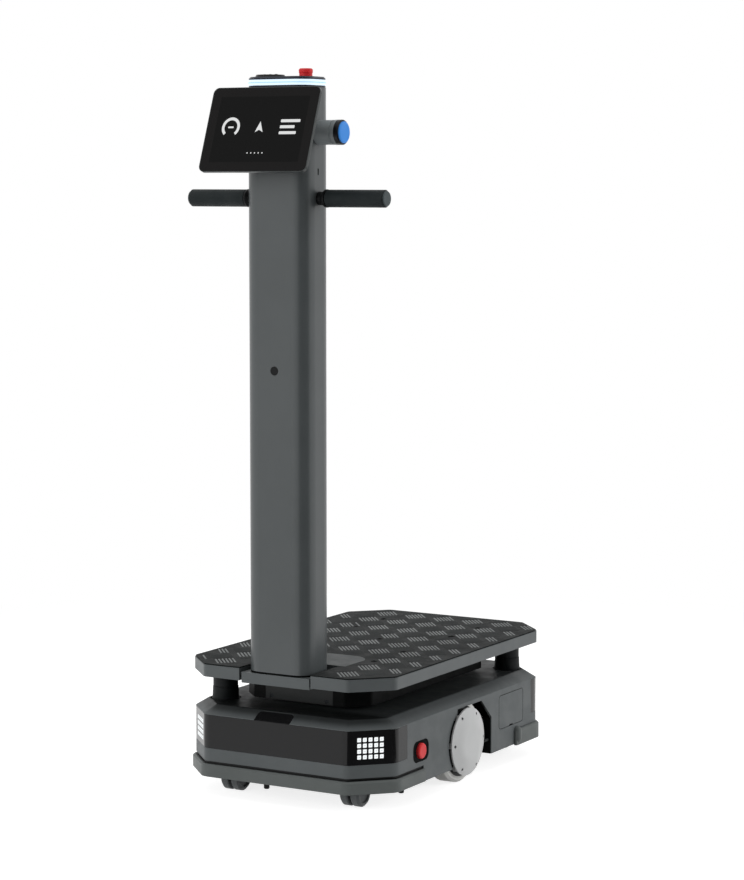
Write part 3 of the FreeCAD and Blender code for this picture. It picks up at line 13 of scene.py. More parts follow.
import bpy
import numpy as np
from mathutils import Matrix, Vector


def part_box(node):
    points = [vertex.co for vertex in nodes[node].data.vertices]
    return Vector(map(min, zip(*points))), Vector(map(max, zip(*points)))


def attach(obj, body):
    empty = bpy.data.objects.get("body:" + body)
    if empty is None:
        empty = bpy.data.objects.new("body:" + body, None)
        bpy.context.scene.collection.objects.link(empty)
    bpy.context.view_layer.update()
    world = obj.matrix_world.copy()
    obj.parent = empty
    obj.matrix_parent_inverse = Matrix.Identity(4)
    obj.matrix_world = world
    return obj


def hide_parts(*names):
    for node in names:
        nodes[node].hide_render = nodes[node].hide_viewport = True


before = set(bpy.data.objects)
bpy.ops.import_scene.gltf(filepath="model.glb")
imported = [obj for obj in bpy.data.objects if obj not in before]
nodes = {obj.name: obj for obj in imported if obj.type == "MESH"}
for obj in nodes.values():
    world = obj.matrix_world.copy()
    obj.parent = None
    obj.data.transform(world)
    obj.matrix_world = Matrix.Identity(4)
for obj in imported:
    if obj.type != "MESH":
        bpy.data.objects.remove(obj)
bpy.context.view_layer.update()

# %% [markdown]
# ## Camera
# The robot is seen from its right front corner, a little above its own head height and from five
# metres away. A long lens keeps the mast's edges nearly parallel. The camera's place along the
# robot is counted from the middle of the base, so the view stays right if the base moves along it.

# %% Place the camera
shell_low, shell_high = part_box("base_shell")
base_middle = (shell_low + shell_high) / 2


def make_camera():
    """A camera at a distance from the base's middle, turned by azimuth and tipped down."""
    azimuth, tip = math.radians(30.094), math.radians(5.761)
    data = bpy.data.cameras.new("camera")
    data.lens, data.sensor_width = 106.8, 36.0
    camera = bpy.data.objects.new("camera", data)
    bpy.context.scene.collection.objects.link(camera)
    camera.location = (2.5672, base_middle.y - 4.4236, 1.1732)
    camera.rotation_euler = (math.pi / 2 - tip, 0.0, azimuth)
    bpy.context.scene.camera = camera
    return camera


camera = make_camera()
bpy.context.scene.view_settings.view_transform = "Standard"
print("camera at", [round(x, 3) for x in camera.location])

# %% [markdown]
# ## Shader helpers
# Each finish is a small graph of nodes. Short helpers keep those graphs readable: `add` makes a
# node, fills its sockets and links whatever is itself a socket, and `maths` does arithmetic.
# `noise` gives a cloudy pattern, `span` carries a value to another range, and `blend` mixes two
# colours. `length` and `outside` measure distances, from which masks are made. Colours are
# written as a paint chart's values, 0 to 255, and turned into the linear values that the
# renderer counts in.


# %% Helpers for node graphs
def paint(red, green, blue):
    """Linear colour of a chart colour: ((c + 0.055) / 1.055) ** 2.4 above the small toe."""
    chart = np.array([red, green, blue]) / 255
    linear = np.where(chart <= 0.04045, chart / 12.92, ((chart + 0.055) / 1.055) ** 2.4)
    return (*linear.tolist(), 1.0)


def add(tree, kind, sockets=(), **settings):
    """A node with its settings, and with each named or numbered socket filled or linked."""
    made = tree.nodes.new("ShaderNode" + kind)
    for name, setting in settings.items():
        setattr(made, name, setting)
    for name, source in dict(sockets).items():
        socket = made.inputs[name]
        if isinstance(source, bpy.types.NodeSocket):
            tree.links.new(source, socket)
        else:
            socket.default_value = source
    return made


def maths(tree, operation, first, second=0.0):
    """Arithmetic on two values or sockets."""
    return add(tree, "Math", {0: first, 1: second}, operation=operation).outputs[0]


def place(tree):
    """Coordinates of the piece itself, so that a pattern stays on it when it moves."""
    return add(tree, "TexCoord").outputs["Object"]


def axes_of(tree, vector=None):
    """The X, Y and Z of a vector, or of the place on the piece."""
    return add(tree, "SeparateXYZ", {0: vector or place(tree)}).outputs


def noise(tree, size, detail=3.0, where=None):
    """A cloudy 0 to 1 pattern whose lumps are about size across."""
    made = add(tree, "TexNoise", {"Vector": where or place(tree), "Scale": 1 / size,
                                  "Detail": detail, "Roughness": 0.55})
    return made.outputs["Fac"]


def blend(tree, factor, first, second):
    """From the first colour to the second as the factor goes from 0 to 1."""
    made = add(tree, "Mix", data_type="RGBA")
    for socket, source in ((made.inputs[0], factor), (made.inputs[6], first),
                           (made.inputs[7], second)):
        if isinstance(source, bpy.types.NodeSocket):
            tree.links.new(source, socket)
        else:
            socket.default_value = source
    return made.outputs[2]


def length(tree, first, second):
    """Length of a flat arrow: sqrt(first^2 + second^2)."""
    squares = [maths(tree, "MULTIPLY", part, part) for part in (first, second)]
    return maths(tree, "SQRT", maths(tree, "ADD", *squares))


def outside(tree, parts, middle, half):
    """Distance from a box: the length of what it doesn't cover, max(|p - middle| - half, 0)."""
    over = []
    for part, centre, size in zip(parts, middle, half):
        away = maths(tree, "ABSOLUTE", maths(tree, "SUBTRACT", part, centre))
        over.append(maths(tree, "MAXIMUM", maths(tree, "SUBTRACT", away, size), 0.0))
    return length(tree, *over)


def span(tree, source, low, high, to_low=0.0, to_high=1.0):
    """The source carried from one range to another, with a soft start and end."""
    made = add(tree, "MapRange", {"Value": source, "From Min": low, "From Max": high,
                                  "To Min": to_low, "To Max": to_high},
               interpolation_type="SMOOTHSTEP")
    return made.outputs[0]


# %% [markdown]
# ## One recipe for every solid finish
# Powder coat, moulded plastic, rubber and metal differ in colour, gloss and grain, but a real
# sample of any of them varies in the same four ways. Its colour drifts a little, its gloss
# drifts with it, its surface has a fine grain, and its edges are rounded and slightly paler.
# The recipe works these out from noise on the piece's own coordinates. The Bevel node rounds
# the shading of sharp CAD edges, and where that rounded normal leans away from the true one
# there is an edge. There the colour is lightened, partly as rubbed wear and partly as a painted
# highlight along the edge, worked out without painting it by hand.


# %% The recipe
def finish(name, colour, roughness, metallic=0.0, grain=0.0006, depth=0.00004, drift=0.08,
           gloss_drift=0.06, edge=0.0007, rub=0.25, specular=0.3, glow=0.0, corners=None):
    """A material: colour and gloss between two values, edges of this radius, grain this deep."""
    material = bpy.data.materials.new(name)
    material.use_nodes = True
    tree = material.node_tree
    shader = tree.nodes["Principled BSDF"]
    cloud = noise(tree, 0.09)
    darker = tuple(c * (1 - drift) for c in colour[:3]) + (1.0,)
    lighter = tuple(min(1.0, c * (1 + drift)) for c in colour[:3]) + (1.0,)
    tone = blend(tree, span(tree, cloud, 0.3, 0.7), darker, lighter)
    rounded = add(tree, "Bevel", {"Radius": edge}, samples=4).outputs[0]
    # Edges are lightened: partly rubbed wear, partly a painted highlight along the edge.
    if rub:
        true_normal = add(tree, "NewGeometry").outputs["Normal"]
        lean = add(tree, "VectorMath", {0: rounded, 1: true_normal}, operation="DOT_PRODUCT")
        edge_wear_and_highlight = span(tree, lean.outputs["Value"], 0.995, 0.9, 0.0, rub)
        worn_and_highlit = tuple(min(1.0, c * 1.6 + 0.02) for c in colour[:3]) + (1.0,)
        tone = blend(tree, edge_wear_and_highlight, tone, worn_and_highlit)
    tree.links.new(tone, shader.inputs["Base Color"])
    dull = span(tree, noise(tree, 0.03, 4.0), 0.3, 0.7, roughness - gloss_drift,
                roughness + gloss_drift)
    tree.links.new(dull, shader.inputs["Roughness"])
    if corners:
        rounded = corners(tree, rounded)
    if depth:
        bump = add(tree, "Bump", {"Height": noise(tree, grain, 2.0), "Distance": depth,
                                  "Strength": 1.0, "Normal": rounded})
        rounded = bump.outputs[0]
    tree.links.new(rounded, shader.inputs["Normal"])
    shader.inputs["Metallic"].default_value = metallic
    shader.inputs["Specular IOR Level"].default_value = specular
    if glow:
        shader.inputs["Emission Color"].default_value = colour
        shader.inputs["Emission Strength"].default_value = glow
    return material


dressed = set()


def dress(material, *names):
    """Gives a finish to CAD nodes and notes which nodes have one."""
    dressed.update(names)
    for name in names:
        for slot in nodes[name].material_slots:
            slot.material = material


# %% [markdown]
# ## Soft corners
# The base is an octagon seen from above, and its upright corners are moulded with a wide radius
# that the CAD body leaves sharp. Shading can round them: near a corner the normal is turned
# towards the one that a true radius would have. In one quarter of the octagon the two corners
# have their centres of rounding inside the wall. The direction from a centre to the point, held
# between the normals of the two faces that meet there, is the rounded normal. Faces that look
# another way, such as the walls of a recess, keep their own.


# %% Rounding the upright corners by normals
SHELL_CUT, CORNER_RADIUS = 0.0655, 0.03
EIGHTH, QUARTER = math.pi / 4, math.pi / 2
SAME_FACE = 0.88  # cosine between the two normals above which a face is an outer wall


def held_angle(tree, across, along, centre, low, high):
    """Angle of the way from a centre to the point, held between two limits."""
    angle = maths(tree, "ARCTAN2", maths(tree, "SUBTRACT", across, centre[0]),
                  maths(tree, "SUBTRACT", along, centre[1]))
    return maths(tree, "MINIMUM", maths(tree, "MAXIMUM", angle, low), high)


def soft_corners(tree, normal):
    """Normal turned to angle t about +Z, where t grows from 0 on an end to 90 on a side."""
    axes = axes_of(tree)
    out = maths(tree, "SUBTRACT", axes["Y"], base_middle.y)
    across, along = maths(tree, "ABSOLUTE", axes["X"]), maths(tree, "ABSOLUTE", out)
    half_x, half_y = shell_high.x, shell_high.y - base_middle.y
    inset = SHELL_CUT + CORNER_RADIUS * math.tan(EIGHTH / 2)
    first = held_angle(tree, across, along, (half_x - inset, half_y - CORNER_RADIUS),
                       0.0, EIGHTH)
    second = held_angle(tree, across, along, (half_x - CORNER_RADIUS, half_y - inset),
                        EIGHTH, QUARTER)
    turn = maths(tree, "SUBTRACT", maths(tree, "ADD", first, second), EIGHTH)
    own = axes_of(tree, normal)
    flat = length(tree, own["X"], own["Y"])
    new_x, new_y = (maths(tree, "MULTIPLY", flat, maths(tree, "MULTIPLY",
                    maths(tree, wave, turn), maths(tree, "SIGN", part)))
                    for wave, part in (("SINE", axes["X"]), ("COSINE", out)))
    turned = add(tree, "CombineXYZ", {0: new_x, 1: new_y, 2: own["Z"]}).outputs[0]
    alike = add(tree, "VectorMath", {0: turned, 1: normal}, operation="DOT_PRODUCT")
    outer = maths(tree, "GREATER_THAN", alike.outputs["Value"], SAME_FACE)
    mixed = add(tree, "Mix", data_type="VECTOR")
    for socket, source in ((mixed.inputs[0], outer), (mixed.inputs[4], normal),
                           (mixed.inputs[5], turned)):
        tree.links.new(source, socket)
    return mixed.outputs[1]


# %% [markdown]
# ## Paints and plastics of the body
# The mast, the deck and the moulded base share one dark grey with a hint of green. On metal it
# is a fine-textured powder coat, and on the moulded base a slightly duller plastic with a finer
# grain, so the two catch the light differently though their colour is nearly the same. The short
# tube of the signal button is painted lighter, as painted light that makes up for the shade the
# display casts on it, and the cover over the mast's foot is a dull coat, because feet step on it.
# The bumpers are a softer plastic, a little paler than the shell.

# %% Body finishes
body_grey, bumper_grey = paint(78, 82, 83), paint(83, 87, 86)
powder_coat = finish("powder_coat", paint(69, 73, 74), 0.3, grain=0.0009, depth=0.00001,
                     drift=0.04, gloss_drift=0.02, specular=0.5)
deck_coat = finish("deck_coat", paint(80, 84, 85), 0.42, grain=0.0009, depth=0.00002,
                   drift=0.05, gloss_drift=0.03)
# Painted light: the tube is painted lighter to make up for the shade the display casts on it.
tube_painted_light = finish("tube_painted_light", paint(150, 156, 158), 0.42, grain=0.0009, depth=0.00002,
                   drift=0.04, gloss_drift=0.03)
tongue_coat = finish("tongue_coat", paint(76, 79, 79), 0.6, grain=0.0006, depth=0.00002,
                     drift=0.06, specular=0.15)
moulded_grey = finish("moulded_grey", body_grey, 0.5, grain=0.0005, depth=0.00001, drift=0.05,
                      corners=soft_corners)
flap_grey = finish("flap_grey", body_grey, 0.5, grain=0.0005, depth=0.00001, drift=0.05)
skirt_plastic = finish("skirt_plastic", bumper_grey, 0.52, grain=0.0005, depth=0.00001,
                       drift=0.05, corners=soft_corners)
boss_plastic = finish("boss_plastic", bumper_grey, 0.52, grain=0.0005, depth=0.00001)
dress(powder_coat, "mast_column")
dress(deck_coat, "deck_plate")
dress(tube_painted_light, "button_housing")
dress(tongue_coat, "foot_cover")
dress(skirt_plastic, "front_skirt", "rear_skirt")
print("body finishes made")

# %% [markdown]
# ## Blacks
# Next to the grey body the eye tells several blacks apart: matt steel of the frame, the pan under
# the deck, moulded covers, the stops' deep recesses, the blue-black trim of the mast's head and
# the display's softer casing. They differ in gloss more than in colour. The pan is also painted
# darker than the other blacks, as painted shade under the deck, and the trim's blue is partly
# painted light from the glowing ring.

# %% Black finishes
dark_steel = finish("dark_steel", paint(20, 22, 22), 0.5, grain=0.001, depth=0.00004,
                    specular=0.15)
# Partly painted shade: the pan is black, darkened further for the shade under the deck.
pan_black_and_shade = finish("pan_black_and_shade", paint(10, 11, 11), 0.6, grain=0.001, depth=0.00003,
                   specular=0.1)
black_plastic = finish("black_plastic", paint(14, 15, 16), 0.42, grain=0.0004, depth=0.00002,
                       specular=0.2)
recess_black = finish("recess_black", paint(8, 9, 9), 0.7, depth=0.0, specular=0.05, rub=0.0)
# Partly painted light: the trim's blue stands in for the glow of the ring beside it.
ring_trim_and_glow = finish("ring_trim_and_glow", paint(15, 24, 38), 0.3, grain=0.0004, depth=0.00001)
display_plastic = finish("display_plastic", paint(46, 50, 50), 0.34, grain=0.0004,
                         depth=0.00001, specular=0.4)
dress(dark_steel, "chassis_frame", "drive_brackets", "display_arm", "handle_tube")
dress(pan_black_and_shade, "deck_tray")
dress(black_plastic, "port_box", "battery_pack", "control_unit", "mast_plug", "top_stop_well",
      "handle_collars")
dress(recess_black, "stop_bezels")
dress(ring_trim_and_glow, "mast_neck", "mast_cap")
dress(display_plastic, "display_housing")
print("black finishes made")

# %% [markdown]
# ## Two-tone pieces and painted shade
# Some pieces are one part in the maker's hands and still show two finishes. The base shell is
# grey with a black groove above the front bumper, and it also carries painted shade: the inside
# of its wheel wells is painted black, and its top and the upper slope under the deck are painted
# dark, darker at the front. The mast's foot has a coated bar on top and a plain dark plate below
# it, the signal button's bezel ends in a black ring, and the flap has a dark gap round its rim.
# `two_tone` copies a finish and turns its colour to another one where a mask, worked out from the
# piece's own coordinates, is 1.


# %% Two finishes on one piece
def two_tone(name, base, colour, mask):
    """A copy of a finish whose colour turns to another one where mask(tree) is 1."""
    material = base.copy()
    material.name = name
    tree = material.node_tree
    shader = tree.nodes["Principled BSDF"]
    tone = shader.inputs["Base Color"].links[0].from_socket
    tree.links.new(blend(tree, mask(tree), tone, colour), shader.inputs["Base Color"])
    return material


def all_of(tree, *masks):
    """1 where every mask is 1: their product."""
    product = masks[0]
    for mask in masks[1:]:
        product = maths(tree, "MULTIPLY", product, mask)
    return product


# %% Masks of the base shell
wheel_low, wheel_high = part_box("wheel_cover_right")
wheel_middle = (wheel_low + wheel_high) / 2
skirt_top, skirt_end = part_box("front_skirt")[1].z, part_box("front_skirt")[1].y
SKIN, WELL_REACH, WELL_DROP = 0.0015, 0.086, 0.024
SEAM_RISE, SEAM_HALF = 0.0025, 0.0026


# Painted shade: the inside of the wheel wells, where shade falls, is painted black.
def painted_well_shade(tree):
    """1 deeper than 1.5 mm behind the shell's side and within 86 mm of the wheels' axis."""
    axes = axes_of(tree)
    depth = maths(tree, "SUBTRACT", shell_high.x, maths(tree, "ABSOLUTE", axes["X"]))
    away = maths(tree, "ABSOLUTE", maths(tree, "SUBTRACT", axes["Y"], wheel_middle.y))
    return all_of(tree, maths(tree, "GREATER_THAN", depth, SKIN),
                  maths(tree, "LESS_THAN", away, WELL_REACH),
                  maths(tree, "LESS_THAN", axes["Z"], shell_high.z - WELL_DROP))


def skirt_seam(tree):
    """1 in the groove that runs above the front bumper."""
    axes = axes_of(tree)
    away = maths(tree, "ABSOLUTE", maths(tree, "SUBTRACT", axes["Z"], skirt_top + SEAM_RISE))
    return all_of(tree, maths(tree, "LESS_THAN", away, SEAM_HALF),
                  maths(tree, "LESS_THAN", axes["Y"], skirt_end))


# Painted shade: the slope and the top under the deck are painted dark, more at the front.
def painted_deck_shade(tree):
    """0 at the shoulder, 0.8 (front) or 0.35 (behind) up the slope, and 0.35 more on the top."""
    axes = axes_of(tree)
    shade = span(tree, axes["Y"], shell_low.y + 0.05, shell_low.y + 0.1, 0.8, 0.35)
    climb = span(tree, axes["Z"], shell_high.z - 0.0155, shell_high.z - 0.004)
    flat = span(tree, axes["Z"], shell_high.z - 0.0015, shell_high.z - 0.0005, 0.0, 0.35)
    return maths(tree, "ADD", maths(tree, "MULTIPLY", shade, climb), flat)


# Black of the groove and the flap's rim gap, and also the painted shade inside the wheel wells.
joint_and_shade_black = paint(6, 7, 7)
shell_well_shade = two_tone("shell_well_shade", moulded_grey, joint_and_shade_black, painted_well_shade)
shell_groove = two_tone("shell_groove", shell_well_shade, joint_and_shade_black, skirt_seam)
# The shell's last tone is painted shade under the deck.
shell_with_painted_shade = two_tone("shell_with_painted_shade", shell_groove, paint(16, 18, 18), painted_deck_shade)
dress(shell_with_painted_shade, "base_shell")
print("base shell in", shell_with_painted_shade.name)

# %% Masks of the foot, the bezel and the flap
foot_bar_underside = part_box("deck_plate")[0].z - 0.0042
bezel_low, bezel_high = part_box("button_bezel")
flap_low, flap_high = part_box("port_flap")
FLAP_ROUND, FLAP_GAP = 0.0075, 0.0008


def below_foot_bar(tree):
    """1 lower than the underside of the foot's bar."""
    return maths(tree, "LESS_THAN", axes_of(tree)["Z"], foot_bar_underside)


def bezel_end(tree):
    """1 on the outer half of the signal button's bezel."""
    return maths(tree, "GREATER_THAN", axes_of(tree)["X"],
                 (bezel_low.x + bezel_high.x) / 2 + 0.0004)


def flap_gap(tree):
    """1 within 0.8 mm of the flap's rim: outside a smaller box with the same rounding."""
    axes = axes_of(tree)
    middle, half = (flap_low + flap_high) / 2, (flap_high - flap_low) / 2
    away = outside(tree, (axes["Y"], axes["Z"]), (middle.y, middle.z),
                   (half.y - FLAP_ROUND, half.z - FLAP_ROUND))
    return maths(tree, "GREATER_THAN", away, FLAP_ROUND - FLAP_GAP)


dress(two_tone("foot_finish", deck_coat, paint(24, 26, 26), below_foot_bar), "mast_foot")
# The bezel's inner half keeps the tube's lighter paint, which is painted light.
dress(two_tone("bezel_finish", tube_painted_light, paint(14, 15, 20), bezel_end), "button_bezel")
dress(two_tone("flap_finish", flap_grey, joint_and_shade_black, flap_gap), "port_flap")
print("foot bar's underside at", round(foot_bar_underside, 4))

# %% [markdown]
# ## Glossy windows and glass
# The bands round the base are smoked acrylic: nearly black, with a mirror-like surface that
# shows the studio. The bands wrap the soft corners and the flat covers of the sensors don't, so
# the same acrylic is made twice. The display's cover glass is darker still and has an
# anti-reflection layer, which a low specular level stands for. It gets its picture further on.

# %% Windows and glass
acrylic = dict(colour=paint(20, 20, 21), roughness=0.12, drift=0.02, gloss_drift=0.02,
               depth=0.0, rub=0.0, edge=0.0005, specular=0.25)
smoked = finish("smoked_window", corners=soft_corners, **acrylic)
lens_black = finish("lens_black", **acrylic)
screen_glass = finish("screen_glass", paint(17, 17, 17), 0.1, drift=0.0, gloss_drift=0.015,
                      depth=0.0, rub=0.0, edge=0.0004, specular=0.06)
dress(smoked, "front_window", "rear_window")
dress(lens_black, "front_sensor_window", "top_camera_cover")
print("windows dressed, glass made:", screen_glass.name)

# %% [markdown]
# ## Rubber and tyres
# Rubber is dull, with a coarse soft grain. The drive tyres are a light polyurethane, which
# leaves no marks on a floor, and the deck posts, studs and grips are black rubber with different
# wear. The posts' rubber, which the studs share, is painted extra dark, partly as painted shade
# under the deck. The casters' narrow treads are a harder grey rubber in black steel forks.

# %% Rubber finishes
# Partly painted shade: the posts' black is darkened for the shade under the deck.
post_rubber_and_shade = finish("post_rubber_and_shade", paint(13, 16, 17), 0.55, grain=0.0012, depth=0.00005,
                     specular=0.2)
grip_foam = finish("grip_foam", paint(28, 33, 34), 0.62, grain=0.0007, depth=0.00012, drift=0.12,
                   specular=0.2)
cap_grey = finish("cap_grey", paint(62, 70, 72), 0.5, grain=0.0006, depth=0.00004)
polyurethane = finish("polyurethane", paint(206, 206, 203), 0.55, grain=0.001, depth=0.00005)
mat_rubber = finish("mat_rubber", paint(27, 29, 29), 0.68, grain=0.0007, depth=0.00012,
                    drift=0.12, specular=0.1)
caster_tread = finish("caster_tread", paint(84, 87, 88), 0.5, grain=0.001, depth=0.00005)
dress(post_rubber_and_shade, "deck_posts", "transport_studs")
dress(grip_foam, "handle_grips")
dress(cap_grey, "grip_ends")
dress(polyurethane, "drive_tyre_right", "drive_tyre_left")
dress(mat_rubber, "rubber_mat")
corners = ("front_right", "front_left", "rear_right", "rear_left")
dress(caster_tread, *("caster_wheels_" + corner for corner in corners))
dress(dark_steel, *("caster_fork_" + corner for corner in corners))
print("rubber and tyres dressed")

# %% [markdown]
# ## Metal, wheel covers and buttons
# Axles and the casters' mounting plates are bare steel, and the screws are blackened. The wheel
# covers are a pale moulded disc with a satin skin. The stop buttons are red, as the safety rules
# ask, and the signal button is a blue cap that a weak light shines through.

# %% Metal, covers and buttons
steel = finish("steel", paint(170, 172, 174), 0.3, metallic=1.0, grain=0.0008, depth=0.00001)
dark_screw = finish("dark_screw", paint(40, 42, 44), 0.35, metallic=0.8, depth=0.00001)
cover_silver = finish("cover_silver", paint(184, 185, 185), 0.42, grain=0.0008, depth=0.00002,
                      drift=0.03, rub=0.1)
stop_red = finish("stop_red", paint(200, 40, 44), 0.38, grain=0.0008, depth=0.00002, drift=0.05)
signal_blue = finish("signal_blue", paint(56, 128, 206), 0.4, depth=0.0, drift=0.03, glow=0.15)
dress(steel, "drive_axles", "caster_plates")
dress(dark_screw, "foot_bolts", "cover_screws_right", "cover_screws_left")
dress(dark_steel, "hub_motor_right", "hub_motor_left")
dress(cover_silver, "wheel_cover_right", "wheel_cover_left")
dress(stop_red, "side_stop_right", "side_stop_left", "top_stop_cap")
dress(signal_blue, "button_cap")
print("metal, covers and buttons dressed")

# %% [markdown]
# ## Lights
# The tiles on the front corners and the ring round the mast's head glow. Their light is cold
# and even. Each tile is a dark moulding that a light behind it fills, a little less bright in its
# middle, and the ring shows two bright lines with a paler seam between them, so its colour
# follows the height on the piece.


# %% Lights
def make_tile_light():
    """Dark moulding whose glow dips in the middle of each tile's own square of coordinates."""
    material = finish("tile_light", paint(40, 42, 44), 0.5, depth=0.0, drift=0.0, rub=0.0,
                      glow=1.0)
    tree = material.node_tree
    square = add(tree, "TexCoord").outputs["UV"]
    away = add(tree, "VectorMath", {0: square, 1: (0.5, 0.5, 0.0)}, operation="DISTANCE")
    tone = blend(tree, span(tree, away.outputs["Value"], 0.05, 0.3), paint(214, 222, 226),
                 paint(250, 254, 255))
    tree.links.new(tone, tree.nodes["Principled BSDF"].inputs["Emission Color"])
    return material


def make_ring_light():
    """Glow whose colour goes from blue to white away from a seam half way up the ring."""
    material = finish("ring_light", paint(150, 175, 195), 0.4, depth=0.0, drift=0.0, rub=0.0,
                      glow=0.75)
    tree = material.node_tree
    low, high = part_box("light_ring")
    seam = maths(tree, "SUBTRACT", axes_of(tree)["Z"], (low.z + high.z) / 2)
    tint = blend(tree, span(tree, maths(tree, "ABSOLUTE", seam), 0.0006, 0.0016),
                 paint(150, 196, 226), paint(232, 246, 255))
    tree.links.new(tint, tree.nodes["Principled BSDF"].inputs["Emission Color"])
    return material


tile_light = make_tile_light()
dress(tile_light, "led_tiles")
dress(make_ring_light(), "light_ring")
print("lights made")

# %% [markdown]
# ## Making surfaces with numpy
# A new piece is a surface over two parameters, worked out as whole arrays: rows of points
# along one parameter, columns along the other. `skin` turns such a grid into faces, closing it
# round either parameter where asked, and `build` puts vertices and faces into a mesh object.


# %% Surface helpers
def skin(rows, columns, close_rows=False, close_columns=False):
    """Four-cornered faces of a grid numbered row by row."""
    numbers = np.arange(rows * columns).reshape(rows, columns)
    if close_rows:
        numbers = np.vstack([numbers, numbers[:1]])
    if close_columns:
        numbers = np.hstack([numbers, numbers[:, :1]])
    return np.stack([numbers[:-1, :-1], numbers[:-1, 1:], numbers[1:, 1:], numbers[1:, :-1]],
                    axis=-1).reshape(-1, 4)


def build(name, points, faces, material, body, slot_name, smooth=True):
    """A mesh object from arrays of points and faces, riding on a body."""
    mesh = bpy.data.meshes.new(name)
    mesh.from_pydata(np.asarray(points, float).tolist(), [], [list(map(int, f)) for f in faces])
    mesh.validate()
    mesh.update()
    mesh.polygons.foreach_set("use_smooth", np.full(len(mesh.polygons), smooth))
    mesh.materials.append(material)
    piece = bpy.data.objects.new(name, mesh)
    bpy.context.scene.collection.objects.link(piece)
    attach(piece, body)
    return piece


def repeat(points, faces, offsets):
    """Copies of one small shape at many places, as one set of points and faces."""
    points, offsets = np.asarray(points), np.asarray(offsets)
    many = (points[None] + offsets[:, None]).reshape(-1, 3)
    steps = np.arange(len(offsets)) * len(points)
    return many, (np.asarray(faces)[None] + steps[:, None, None]).reshape(-1, faces.shape[1])


# %% [markdown]
# ## Tread of the rubber mat
# The mat is moulded with a basket weave of short ribs. Its cells are diamonds laid in rows and
# columns, six ribs to a cell, and the ribs of one cell run across those of its neighbours. One
# rib is a half-round bar with sloped ends. It is worked out once, turned along either diagonal
# of a cell, and copied to each place that lies on the mat and clear of its holes. The ribs of one
# weave direction are painted pale and the others dark: painted light on the ribs whose sides face
# the main lamp, and painted shade on those that face away.

# %% Rib of the tread
mat_low, mat_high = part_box("rubber_mat")
foot_high, cover_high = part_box("mast_foot")[1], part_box("foot_cover")[1]
CELL_X, CELL_Y, CELL_START = 0.0678, 0.0776, -0.006
COLUMNS, ROWS = np.arange(-5, 6), np.arange(-6, 7)
RIBS, RIB_PITCH = 6, 0.0068
RIB_LENGTH, RIB_WIDTH, RIB_HEIGHT = 0.042, 0.0034, 0.0009
MAT_CUT, MAT_EDGE, FOOT_GAP, SCREW_CLEAR = 0.065, 0.004, 0.007, 0.0085
MAT_SCREWS = np.array([[0.0, 0.071]] + [[side * 0.111, y] for side in (-1, 1)
                                        for y in (-0.144, -0.030, 0.168, 0.280)])


def rib(direction):
    """A bar over s along it and a across it: height = h * sin(a), cut back by its sloped ends."""
    across = np.linspace(0, math.pi, 5)
    along = np.array([-0.5, -0.47, 0.47, 0.5])
    rise = np.array([0.0, 1.0, 1.0, 0.0])
    direction = np.array([*direction, 0.0]) / np.hypot(*direction)
    side = np.array([-direction[1], direction[0], 0.0])
    s, a = np.meshgrid(along, across, indexing="ij")
    lift = rise[:, None] * np.sin(a) * RIB_HEIGHT
    points = (s[..., None] * RIB_LENGTH * direction - np.cos(a)[..., None] * RIB_WIDTH / 2 * side
              + lift[..., None] * np.array([0, 0, 1.0]))
    return points.reshape(-1, 3), skin(len(along), len(across))[:, ::-1]


def on_mat(spots):
    """True for places inside the mat's eight sides and clear of its openings."""
    x, y = np.abs(spots[:, 0]), np.abs(spots[:, 1] - base_middle.y)
    half_x, half_y = mat_high.x, (mat_high.y - mat_low.y) / 2
    inside = (x < half_x - MAT_EDGE) & (y < half_y - MAT_EDGE)
    inside &= x + y < half_x + half_y - MAT_CUT - MAT_EDGE * 1.5
    tongue = (x < cover_high.x + 0.003) & (spots[:, 1] < cover_high.y + 0.003)
    foot = (x < foot_high.x + FOOT_GAP) & (spots[:, 1] < foot_high.y + 0.003)
    gaps = np.hypot(*(spots[:, None] - MAT_SCREWS).transpose(2, 0, 1))
    return inside & ~tongue & ~foot & (gaps.min(axis=1) > SCREW_CLEAR)


def make_tread(cell_shift, slant):
    """The ribs of one weave direction, whose cells are shifted by part of a cell."""
    direction = np.array([CELL_X, slant * CELL_Y])
    stack = np.array([CELL_X, -slant * CELL_Y]) / np.hypot(CELL_X, CELL_Y)
    columns, rows = np.meshgrid(COLUMNS + cell_shift, ROWS + cell_shift)
    centres = np.stack([columns.ravel() * CELL_X, rows.ravel() * CELL_Y + CELL_START], axis=-1)
    steps = (np.arange(RIBS) - (RIBS - 1) / 2) * RIB_PITCH
    spots = (centres[:, None] + steps[:, None] * stack).reshape(-1, 2)
    spots[:, 1] += base_middle.y
    reach = direction / np.hypot(*direction) * RIB_LENGTH / 2
    kept = spots[on_mat(spots + reach) & on_mat(spots - reach) & on_mat(spots)]
    points, faces = rib(direction)
    return repeat(points, faces, np.column_stack([kept, np.full(len(kept), mat_high.z)]))


# Painted light and shade: one weave's ribs are painted pale as lit, the other's dark as shaded.
painted_lit_rib = finish("painted_lit_rib", paint(106, 109, 109), 0.6, grain=0.0007, depth=0.00004,
                    rub=0.0, specular=0.3)
painted_shade_rib = finish("painted_shade_rib", paint(50, 52, 52), 0.7, grain=0.0007, depth=0.00004, rub=0.0,
                   specular=0.3)
lengthwise = build("mat_tread_lengthwise", *make_tread(0.0, -1.0), painted_lit_rib, "carrier",
                   "mat_rubber", smooth=False)
crosswise = build("mat_tread_crosswise", *make_tread(0.5, 1.0), painted_shade_rib, "carrier",
                  "mat_rubber", smooth=False)
RIB_FACES = 12
print("tread ribs:", [len(piece.data.polygons) // RIB_FACES for piece in (lengthwise, crosswise)])

